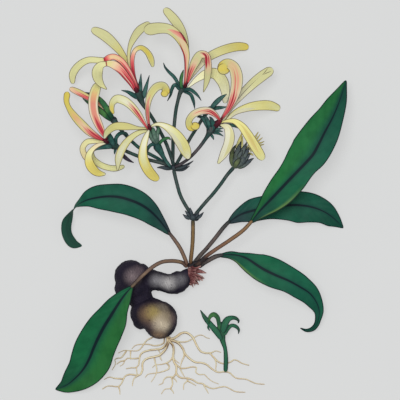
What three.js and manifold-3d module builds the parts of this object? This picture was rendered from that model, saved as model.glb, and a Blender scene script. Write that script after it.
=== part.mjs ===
import * as THREE from 'three';
import { mergeVertices } from 'three/addons/utils/BufferGeometryUtils.js';
import Module from 'manifold-3d';

// A bare-root flowering honeysuckle, lifted from the soil and laid flat on a surface.
// Its leaves and flowers point to +Y, its roots to -Y, and the surface is at height zero.
// Every route point below is [right, down, height, half-width, other half-width], in
// millimetres: right and down from the top left corner of the layout, height above the
// surface. Half-widths are to the left and to the right of the way the route runs.

// Driving dimensions
const PLANT_LENGTH = 391; // top petal to lowest rootlet
const LAYOUT_LENGTH = 391; // the same stretch in the layout below
const LAYOUT_MIDDLE = { right: 200.75, down: 200.5 };
const SCALE = PLANT_LENGTH / LAYOUT_LENGTH;

const SEAT_GAP = 0.35; // clearance between a piece and the socket that holds it
const SURFACE = 0.05; // lowest point that a piece lying on the surface may have
const WELD = 1e-4; // points closer than this are one point
const THINNEST = 0.1; // smallest half-width of a blade or stalk
const STEEPEST = 0.3; // sine below which a route counts as running straight up

const PETAL_CLEARANCE = 0.5; // room kept round a petal from those beside it
const PETAL_FOOT = 1; // half-width of a petal in the heart of its cup
const PETAL = { halfThick: 0.55, sides: 6, steps: 10, cup: 0.1 };
const LEAF = { halfThick: 0.6, sides: 6, steps: 20, cup: 0.16 };
const SEPAL = { halfThick: 0.6, sides: 4, steps: 6 };
const STALK = { sides: 8, steps: 14 };
const STEM = { sides: 8, steps: 12 };
const ROOT = { sides: 5, steps: 18 };
const ROOTLET = { sides: 5, steps: 9 };
const RHIZOME_LUMP = [13, 8]; // faces around and from pole to pole
const SMALL_KNOB = [10, 6];
const RHIZOME_WAVES = 0.018; // unevenness of the old growth, as a share of its size
const KNOB_WAVES = 0.01;
const TUFT_HALF_THICK = 1;
const SHOOT_HALF_THICK = 0.9;

// Finishes: colour, roughness and metalness of each kind of surface
const FINISHES = {
  petal: { color: 0xdcd68f, roughness: 0.55, metalness: 0 },
  calyx: { color: 0x2e5a4a, roughness: 0.6, metalness: 0 },
  stem: { color: 0x6b5a3c, roughness: 0.6, metalness: 0 },
  leaf: { color: 0x21603f, roughness: 0.42, metalness: 0 },
  rhizome: { color: 0x39323c, roughness: 0.75, metalness: 0 },
  root: { color: 0xc7ae80, roughness: 0.8, metalness: 0 },
  tuft: { color: 0xa5706a, roughness: 0.85, metalness: 0 },
  shoot: { color: 0x2a6a4a, roughness: 0.5, metalness: 0 },
};

const wasm = await Module();
wasm.setup();

/** A layout point as a place in the part's own frame. */
function placeOf([right, down, height]) {
  return new THREE.Vector3(
    (right - LAYOUT_MIDDLE.right) * SCALE,
    (LAYOUT_MIDDLE.down - down) * SCALE,
    height * SCALE,
  );
}

/** A closed three.js geometry as a solid that can be joined and cut. */
function solidFrom(geometry) {
  const bare = geometry.clone();
  bare.deleteAttribute('normal');
  bare.deleteAttribute('uv');
  const merged = mergeVertices(bare, WELD);
  const vertProperties = new Float32Array(merged.attributes.position.array);
  const triVerts = new Uint32Array(merged.index.array);
  return new wasm.Manifold(new wasm.Mesh({ numProp: 3, vertProperties, triVerts }));
}

/** The geometry of a solid. */
function geometryFrom(solid) {
  const mesh = solid.getMesh();
  const places = new Float32Array(mesh.numVert * 3);
  for (let i = 0; i < mesh.numVert; i += 1) {
    places.set(mesh.vertProperties.subarray(i * mesh.numProp, i * mesh.numProp + 3), i * 3);
  }
  const geometry = new THREE.BufferGeometry();
  geometry.setAttribute('position', new THREE.BufferAttribute(places, 3));
  geometry.setIndex(new THREE.BufferAttribute(new Uint32Array(mesh.triVerts), 1));
  geometry.computeVertexNormals();
  return geometry;
}

/** The same solid with its skin moved outwards by a distance. */
function swollen(solid, distance) {
  const geometry = geometryFrom(solid);
  const { position, normal } = geometry.attributes;
  for (let i = 0; i < position.count; i += 1) {
    position.setXYZ(
      i,
      position.getX(i) + normal.getX(i) * distance,
      position.getY(i) + normal.getY(i) * distance,
      position.getZ(i) + normal.getZ(i) * distance,
    );
  }
  return solidFrom(geometry);
}

/** A solid without what its neighbours take, seated a small gap away from them. */
function seatedOn(solid, ...neighbours) {
  const cut = neighbours.reduce((rest, one) => rest.subtract(swollen(one, SEAT_GAP)), solid);
  const pieces = cut.decompose();
  return pieces.reduce((most, one) => (one.volume() > most.volume() ? one : most));
}

/** Several solids joined in one. */
function joined(solids) {
  return solids.reduce((all, one) => all.add(one));
}

/** The direction that a blade's upper face looks in, as near to straight up as it can. */
function faceOf(tangent, before) {
  const face = new THREE.Vector3(0, 0, 1).addScaledVector(tangent, -tangent.z);
  if (face.length() < STEEPEST && before) {
    face.copy(before).addScaledVector(tangent, -before.dot(tangent));
  }
  return face.normalize();
}

/** How much of its width a blade keeps near a rounded end. */
function endTaper(distance, halfWidth) {
  const inside = 1 - Math.min(distance / Math.max(halfWidth, 0.01), 1);
  return Math.sqrt(Math.max(1 - inside * inside, 0));
}

/**
 * A closed body along a route. It is a ball drawn out along the curve: its poles are the two
 * ends and its rings are the cross-sections. A round body is as thick as it is wide.
 */
function body(route, { sides, steps, halfThick, cup = 0, turns = null }) {
  const places = new THREE.CatmullRomCurve3(route.map(placeOf));
  const sections = new THREE.CatmullRomCurve3(
    route.map((point, i) => new THREE.Vector3(
      point[3] * SCALE,
      (point[4] ?? point[3]) * SCALE,
      turns ? turns[i] : 0,
    )),
    false,
    'catmullrom',
    0.5,
  );
  const length = places.getLength();
  const stations = new Map();
  let before = null;
  for (let i = 0; i <= steps; i += 1) {
    const along = (1 - Math.cos((i / steps) * Math.PI)) / 2;
    const t = places.getUtoTmapping(along);
    const tangent = places.getTangent(t);
    const face = faceOf(tangent, before);
    before = face;
    const section = sections.getPoint(t);
    const turned = face.clone().applyAxisAngle(tangent, THREE.MathUtils.degToRad(section.z));
    stations.set(i, {
      centre: places.getPoint(t),
      face: turned,
      left: turned.clone().cross(tangent),
      leftHalf: Math.max(section.x, THINNEST),
      rightHalf: Math.max(section.y, THINNEST),
      taper: endTaper(
        Math.min(along, 1 - along) * length,
        Math.max(section.x, section.y),
      ),
    });
  }
  const geometry = new THREE.SphereGeometry(1, sides, steps);
  const { position } = geometry.attributes;
  for (let i = 0; i < position.count; i += 1) {
    const fromPole = Math.acos(THREE.MathUtils.clamp(position.getY(i), -1, 1));
    const ring = Math.round((fromPole / Math.PI) * steps);
    const spread = Math.sin((ring / steps) * Math.PI);
    const isPole = ring === 0 || ring === steps;
    const across = isPole ? 0 : position.getX(i) / spread;
    const through = isPole ? 0 : position.getZ(i) / spread;
    const at = stations.get(ring);
    const half = (across > 0 ? at.leftHalf : at.rightHalf) * at.taper;
    const thick = halfThick === undefined ? half : halfThick * SCALE * Math.sqrt(at.taper);
    const lift = cup * across * across * half;
    const place = at.centre.clone();
    place.addScaledVector(at.left, across * half);
    place.addScaledVector(at.face, through * thick + lift);
    position.setXYZ(i, place.x, place.y, Math.max(place.z, SURFACE * through + SURFACE));
  }
  return solidFrom(geometry);
}

/** An egg-shaped lump with a slightly uneven skin. */
function lump([right, down, height], [halfWide, halfLong, halfHigh], unevenness, [around, high]) {
  const geometry = new THREE.SphereGeometry(1, around, high);
  const { position } = geometry.attributes;
  const centre = placeOf([right, down, height]);
  for (let i = 0; i < position.count; i += 1) {
    const [x, y, z] = [position.getX(i), position.getY(i), position.getZ(i)];
    const wave = Math.sin(5.1 * x + 2.3 * z + right) + Math.sin(4.3 * y - 3.7 * z + down);
    const swell = 1 + unevenness * wave;
    position.setXYZ(
      i,
      centre.x + x * halfWide * SCALE * swell,
      centre.y + y * halfLong * SCALE * swell,
      Math.max(centre.z + z * halfHigh * SCALE * swell, 0),
    );
  }
  return solidFrom(geometry);
}

// The rhizome: two fat knobs of old growth and the arm that ends in this year's crown
const RHIZOME_LUMPS = [
  { centre: [132.5, 277.5, 16.5], half: [18.5, 16.5, 17.5] },
  { centre: [133, 289, 14.5], half: [17.5, 14, 15] },
  { centre: [149.5, 313.5, 16], half: [20.5, 16.5, 16.5] },
  { centre: [160, 321, 16.5], half: [17.5, 18.5, 17] },
];
const RHIZOME_ARM = [
  [134, 279, 15, 12],
  [148, 279.5, 14, 12.5],
  [160, 281.5, 12.5, 10.5],
  [171, 284, 11.8, 11.2],
  [180, 281.5, 12, 11],
  [186, 274.5, 12.8, 8.5],
  [188, 270.5, 13, 6],
];
const RHIZOME_NECK = [
  [134, 284, 14, 13],
  [139, 296, 13.5, 13],
  [147, 309, 14.5, 13],
];

/** The rhizome as one body. */
function rhizome() {
  const lumps = RHIZOME_LUMPS.map(
    ({ centre, half }) => lump(centre, half, RHIZOME_WAVES, RHIZOME_LUMP),
  );
  const arm = body(RHIZOME_ARM, { sides: 12, steps: 10 });
  const neck = body(RHIZOME_NECK, { sides: 10, steps: 6 });
  return joined([...lumps, arm, neck]);
}

// The crown: a short knob that the stalks grow from, with a tuft of brown scales
const CROWN_KNOBS = [
  { centre: [191.5, 266.5, 14.5], half: [7, 5, 7.5] },
  { centre: [191.5, 274, 12.5], half: [5, 8, 7.5] },
];
const CROWN_SCALES = [
  [[192, 268, 16, 2.5], [197, 267.5, 18, 2.2], [201.2, 266, 18, 0.5]],
  [[193, 271, 15, 3], [200, 271.5, 16, 2.6], [206.6, 273.3, 15, 0.5]],
  [[193, 275, 10, 3], [199.5, 277, 9, 2.6], [204.5, 278.8, 7, 0.5]],
  [[193, 276, 15, 2.5], [198.5, 278, 16, 2.2], [203, 281, 15, 0.5]],
  [[191.5, 278, 9, 2.8], [195.5, 282, 7, 2.4], [198.8, 285, 5, 0.5]],
];

/** The crown with its tuft, cut to seat the stalks and the rhizome. */
function crownTuft(held) {
  const knobs = CROWN_KNOBS.map(
    ({ centre, half }) => lump(centre, half, KNOB_WAVES, SMALL_KNOB),
  );
  const thickness = { ...SEPAL, halfThick: TUFT_HALF_THICK };
  const scales = CROWN_SCALES.map((route) => body(route, thickness));
  return seatedOn(joined([...knobs, ...scales]), ...held);
}

// Roots: each is one grown body of a main root and its forks
const ROOTS = {
  root_right_upper: {
    main: [
      [166.5, 331.5, 21, 1.7], [174, 337.5, 14.6, 1.6], [181, 334.5, 8, 1.5], [189, 335, 4, 1.5],
      [194, 341, 2.4, 1.4], [198, 348, 1.8, 1.3], [204, 354, 1.6, 1.3], [213, 354.5, 1.5, 1.2],
      [219, 362, 1.4, 1.1], [226, 364, 1.2, 1], [234, 360.8, 1.2, 0.9], [241, 364.5, 1, 0.8],
      [250, 366, 0.9, 0.7],
    ],
    forks: [
      [[211, 354.8, 1.5, 1], [215, 352.3, 1.5, 0.9], [220, 353.2, 1.2, 0.7]],
      [[212, 354.5, 1.5, 1], [216.5, 363, 1.4, 0.9], [217.3, 369.8, 1.2, 0.7]],
      [[171, 336.6, 16.4, 1.5], [175, 341, 12, 1.5], [184, 342.8, 6, 1.4], [191, 341.2, 6.2, 1.3],
        [196, 337.5, 3.6, 1.2], [202, 336.3, 1.6, 1], [210, 339.3, 1, 0.8]],
    ],
  },
  root_right_lower: {
    main: [
      [165, 333, 9.4, 1.7], [176, 344, 5.6, 1.7], [181, 349.5, 3.6, 1.6], [186, 357, 2.2, 1.5],
      [192, 362.5, 1.8, 1.5], [203, 363.5, 1.7, 1.5], [211, 369.5, 1.7, 1.5],
      [218, 373.3, 1.7, 1.5], [228, 372.5, 1.7, 1.4], [237, 379.5, 1.6, 1.3],
      [247, 380, 1.4, 1.1], [256, 384, 1.2, 1], [265, 385, 1, 0.8],
    ],
    forks: [[[186, 356, 2.3, 1.1], [183.5, 360, 2, 1], [182, 364, 1.4, 0.7]]],
  },
  root_middle: {
    main: [
      [166, 333, 15, 1.7], [172.3, 346.5, 11, 1.7], [173, 359, 5, 1.6], [178, 367.8, 2.4, 1.5],
      [188, 368.5, 1.7, 1.4], [196, 369.5, 1.6, 1.3], [199, 375.5, 1.5, 1.2],
      [206, 376, 1.4, 1.1], [212, 382, 1.2, 1], [219, 385, 1, 0.8],
    ],
    forks: [
      [[173, 358, 5.5, 1.3], [169, 368.5, 2.6, 1.2], [160, 373.4, 3.6, 1.1], [151, 375, 4, 1],
        [145, 379, 1.6, 0.7]],
      [[175.5, 364.5, 3.4, 1.4], [177, 374.5, 1.7, 1.3], [186, 380, 1.5, 1.2],
        [200, 384.5, 1.4, 1.1], [212, 389.3, 1.3, 1], [225, 387.3, 1.1, 0.9],
        [236, 392.3, 1, 0.8], [246, 393, 0.9, 0.7]],
      [[176.5, 373, 1.8, 1.1], [170, 378, 1.6, 1], [164.3, 380, 1.4, 0.9], [158, 386, 1, 0.7]],
      [[172.5, 377, 1.6, 1], [171, 388, 1.4, 0.9], [165, 391, 1.2, 0.8], [161, 395.6, 1, 0.7]],
    ],
  },
  root_left_lower: {
    main: [
      [162.5, 332, 11, 1.7], [167, 345, 8.4, 1.7], [162, 354, 4, 1.6], [153, 358, 2.4, 1.5],
      [144, 361, 1.8, 1.4], [140.8, 369, 1.6, 1.3], [139, 376, 1.5, 1.3], [130, 375.7, 1.4, 1.1],
      [123, 381.5, 1.3, 1], [117, 387.3, 1.2, 0.9], [108, 388, 1, 0.8], [101, 390.3, 0.9, 0.7],
    ],
    forks: [
      [[140, 374, 1.5, 1.1], [133, 379, 1.3, 1], [131.3, 387.5, 1, 0.7]],
      [[155.5, 357, 2.6, 1.1], [155.8, 369, 1.4, 1], [150, 383, 1, 0.7]],
      [[126, 378.5, 1.3, 1], [114, 378.3, 1.1, 0.8], [104, 380.3, 0.9, 0.6]],
      [[118.5, 386.3, 1.2, 0.9], [119.5, 391, 1, 0.8], [119.6, 395.8, 0.8, 0.6]],
    ],
  },
  root_left_upper: {
    main: [
      [163, 333, 19, 1.7], [163.4, 344, 13, 1.6], [156, 350.5, 7, 1.5], [147, 351, 4.5, 1.4],
      [140, 357.5, 4.3, 1.3], [137.3, 366, 4, 1.2], [132, 369, 2, 1], [125.5, 369.6, 1, 0.7],
    ],
    forks: [
      [[141, 356.5, 4.3, 1.1], [131, 359.2, 2.4, 1], [123, 361.3, 1.2, 0.8],
        [120.8, 365.5, 0.9, 0.6]],
      [[163.4, 342.5, 14, 1.5], [157, 345, 10, 1.5], [149.5, 344.6, 5.6, 1.4],
        [143.5, 345.4, 3.6, 1.4], [139.5, 350.5, 1.8, 1.3], [132, 351.7, 1.5, 1.2],
        [125.5, 352.2, 1.4, 1.1], [121.5, 357.8, 1.3, 1], [115, 360.3, 1.1, 0.9],
        [113.5, 366, 1, 0.8], [111, 371, 0.9, 0.6]],
    ],
  },
};

/** One root with its forks, seated on the rhizome, clear of the roots before it. */
function root({ main, forks }, holder, before) {
  const strands = [body(main, ROOT), ...forks.map((fork) => body(fork, ROOTLET))];
  return seatedOn(joined(strands), holder, ...before);
}

// Leaves: each is one grown body of a petiole and a blade along its midrib
const LEAVES = {
  leaf_upper_left: {
    petiole: [
      [187.3, 265, 20, 2], [184.5, 257.5, 22, 2], [180, 248, 24, 2], [175, 240.5, 25.5, 1.9],
      [168, 231.5, 26.5, 1.6],
    ],
    blade: [
      [170.5, 235, 26, 1.6, 1.6], [160, 220.5, 29, 9.5, 5], [150, 210.5, 32, 13.2, 9],
      [140, 204, 34, 15, 12], [130, 200, 35, 15.6, 13.4], [120, 197.2, 34.5, 16, 13.4],
      [110, 196.3, 33, 15, 12.4], [98, 197.5, 30, 12, 12], [86, 200.5, 26, 7, 9],
      [76.5, 206, 21, 6, 6], [70.5, 214, 16.5, 5.6, 5.6], [66.3, 224.5, 11.6, 5, 5.4],
      [67.3, 235, 7.4, 5.4, 5], [73, 243.3, 4, 5.2, 4.4], [81.5, 246.2, 1, 1.2, 1.2],
    ],
    turns: [0, 0, 0, 0, 0, 0, 0, 4, 25, 72, 118, 160, 172, 176, 178],
  },
  leaf_upper_right: {
    petiole: [
      [197, 265, 18, 2.1], [205, 257.3, 20.5, 2.1], [215, 250, 23, 2], [230, 240, 26.5, 2],
      [243, 230.5, 29, 2], [252.5, 220.5, 30.5, 1.7],
    ],
    blade: [
      [250.5, 223, 30, 1.6, 1.6], [260, 210.5, 33, 4.5, 8.6], [270, 200, 36, 9.6, 13.8],
      [280, 189.5, 39, 13.2, 16.6], [292, 177, 42, 16, 16.2], [304, 165, 43.5, 21.6, 13.4],
      [313, 155, 43.5, 24.6, 14.4], [318.5, 145, 42, 23.6, 15.2], [325, 132, 39, 20.6, 14.6],
      [333, 117, 34, 16.4, 10.8], [340, 100, 27, 11, 7], [346.3, 80.2, 19, 1, 1],
    ],
  },
  leaf_middle_right: {
    petiole: [
      [193.5, 264, 12, 2.2], [199, 257, 11.7, 2.2], [206, 249.3, 11.5, 2.1],
      [215, 238.5, 11.5, 2.1], [224, 227, 11.2, 2.1], [230.5, 220.5, 11, 1.8],
    ],
    blade: [
      [228, 223, 11.2, 2, 2], [240, 215, 11, 7, 8], [252, 211, 11, 12, 11],
      [268, 208, 10.5, 13, 11.5], [285, 205.5, 9.8, 14, 15], [298, 205, 9, 14, 18],
      [312, 207, 8, 13.6, 16], [325, 212, 6.8, 11, 12.4], [335, 219, 4.4, 6.2, 9.4],
      [343.7, 228.2, 0.9, 0.8, 0.8],
    ],
  },
  leaf_lower_right: {
    petiole: [
      [198, 267.5, 11, 2.4], [204, 263, 12.3, 2.4], [210, 259.5, 13.3, 2.4],
      [216, 256.5, 14, 2.3], [224, 254.8, 14.6, 1.8],
    ],
    blade: [
      [218.5, 255.2, 14.2, 1.8, 2.2], [230, 255, 16, 3.8, 6], [241, 256, 18, 4.2, 15.5],
      [252, 259, 20, 6.5, 19.5], [263, 264.5, 22, 10, 20.4], [275, 272, 23.2, 13.4, 18.2],
      [289, 279.5, 22.5, 13, 15], [300, 286, 20.5, 12, 12.2], [310, 293.5, 17.5, 9.4, 10.6],
      [317, 303, 14, 6.2, 9], [319.5, 313, 11, 4.4, 6], [316.5, 322, 8.5, 3.4, 3.4],
      [313.5, 328.5, 6, 3.2, 3], [307.5, 331, 3, 2, 2.2], [300.6, 328.6, 0.9, 0.6, 0.6],
    ],
    turns: [0, 0, 0, 0, 0, 0, 0, 0, 0, 0, 12, 55, 120, 160, 172],
  },
  leaf_lower_left: {
    petiole: [
      [187.3, 267.5, 14.5, 2], [183, 263.2, 17.5, 2], [177, 261.4, 23, 2], [170, 261, 28, 2],
      [162, 262, 32.5, 2], [154, 266, 36, 2], [146, 272.5, 38.5, 2], [138, 280, 39.2, 2],
      [131, 287.5, 38.5, 1.7],
    ],
    blade: [
      [133, 285.5, 38.6, 1.4, 1.4], [124.5, 295, 37.2, 8.2, 6.4], [117.5, 305, 35, 12.6, 11],
      [110.5, 316, 32, 18.4, 13.8], [104, 326.5, 28, 20.6, 16.6], [98.5, 337, 24, 21.2, 18.2],
      [93.5, 348, 20, 21.8, 19.2], [89, 359, 16, 22.4, 18.6], [83, 369.5, 12.4, 19.8, 16],
      [75, 378.5, 9, 14.8, 13], [65.5, 386, 4.6, 8.2, 7.6], [54.8, 390, 0.9, 0.8, 0.8],
    ],
  },
};

/** One leaf. */
function leaf({ petiole, blade, turns = null }) {
  return joined([body(petiole, STEM), body(blade, { ...LEAF, turns })]);
}

// The flowering stem: a scape that forks in two peduncles, with a whorl of bracts at each fork
const STEMS = {
  scape: [
    [190.5, 264, 17, 2], [191.2, 257, 19, 2], [192.5, 245, 22, 2], [193, 232, 24.5, 2],
    [193, 219.5, 25.6, 2],
  ],
  peduncle_left: [
    [192, 215.5, 26.3, 1.8], [186, 206, 26.6, 1.8], [180.5, 195.5, 26, 1.8],
    [176.3, 181, 25.6, 1.8], [173.6, 169.5, 25.6, 1.9],
  ],
  peduncle_right: [
    [194.5, 215.5, 25, 1.8], [205, 203, 24, 1.8], [213, 194, 22.5, 1.8],
    [220.5, 184.5, 21, 1.8], [228, 174, 19.5, 1.8], [234.3, 167, 18.8, 2.1],
  ],
};
const WHORLS = {
  lower_bract_whorl: {
    knob: { centre: [193, 217.3, 26], half: [3.9, 3.7, 3.9] },
    bracts: [
      [[191.5, 218, 27, 1.5], [187, 217, 28.6, 2], [182.8, 214, 28, 0.3]],
      [[192.3, 216.5, 28, 1.4], [190, 211.5, 30, 1.7], [189, 207.8, 30, 0.3]],
      [[194, 218, 27, 1.5], [199, 215.8, 28.6, 1.9], [202.6, 211.8, 28, 0.3]],
      [[193, 218.5, 24, 1.5], [197.5, 219.5, 22, 1.8], [202, 217.5, 20.5, 0.3]],
    ],
  },
  upper_bract_whorl: {
    knob: { centre: [173.5, 167.3, 26], half: [4, 4.6, 5] },
    bracts: [
      [[172, 168.5, 27, 1.6], [166.5, 168.2, 29, 2.1], [161.5, 167.4, 29, 1.5],
        [156.8, 167.6, 28, 0.3]],
      [[175, 168.5, 26, 1.5], [182.5, 167, 26, 1.9], [188.5, 164, 25.4, 1.2],
        [193.6, 160.6, 25, 0.3]],
      [[175, 170, 23, 1.4], [183, 169.4, 22, 1.6], [190, 165.8, 21, 0.3]],
    ],
  },
};

/** A knob with its bracts, cut to seat the stems that meet in it. */
function whorl({ knob, bracts }, held) {
  const core = lump(knob.centre, knob.half, KNOB_WAVES, SMALL_KNOB);
  return seatedOn(joined([core, ...bracts.map((route) => body(route, SEPAL))]), ...held);
}

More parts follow.
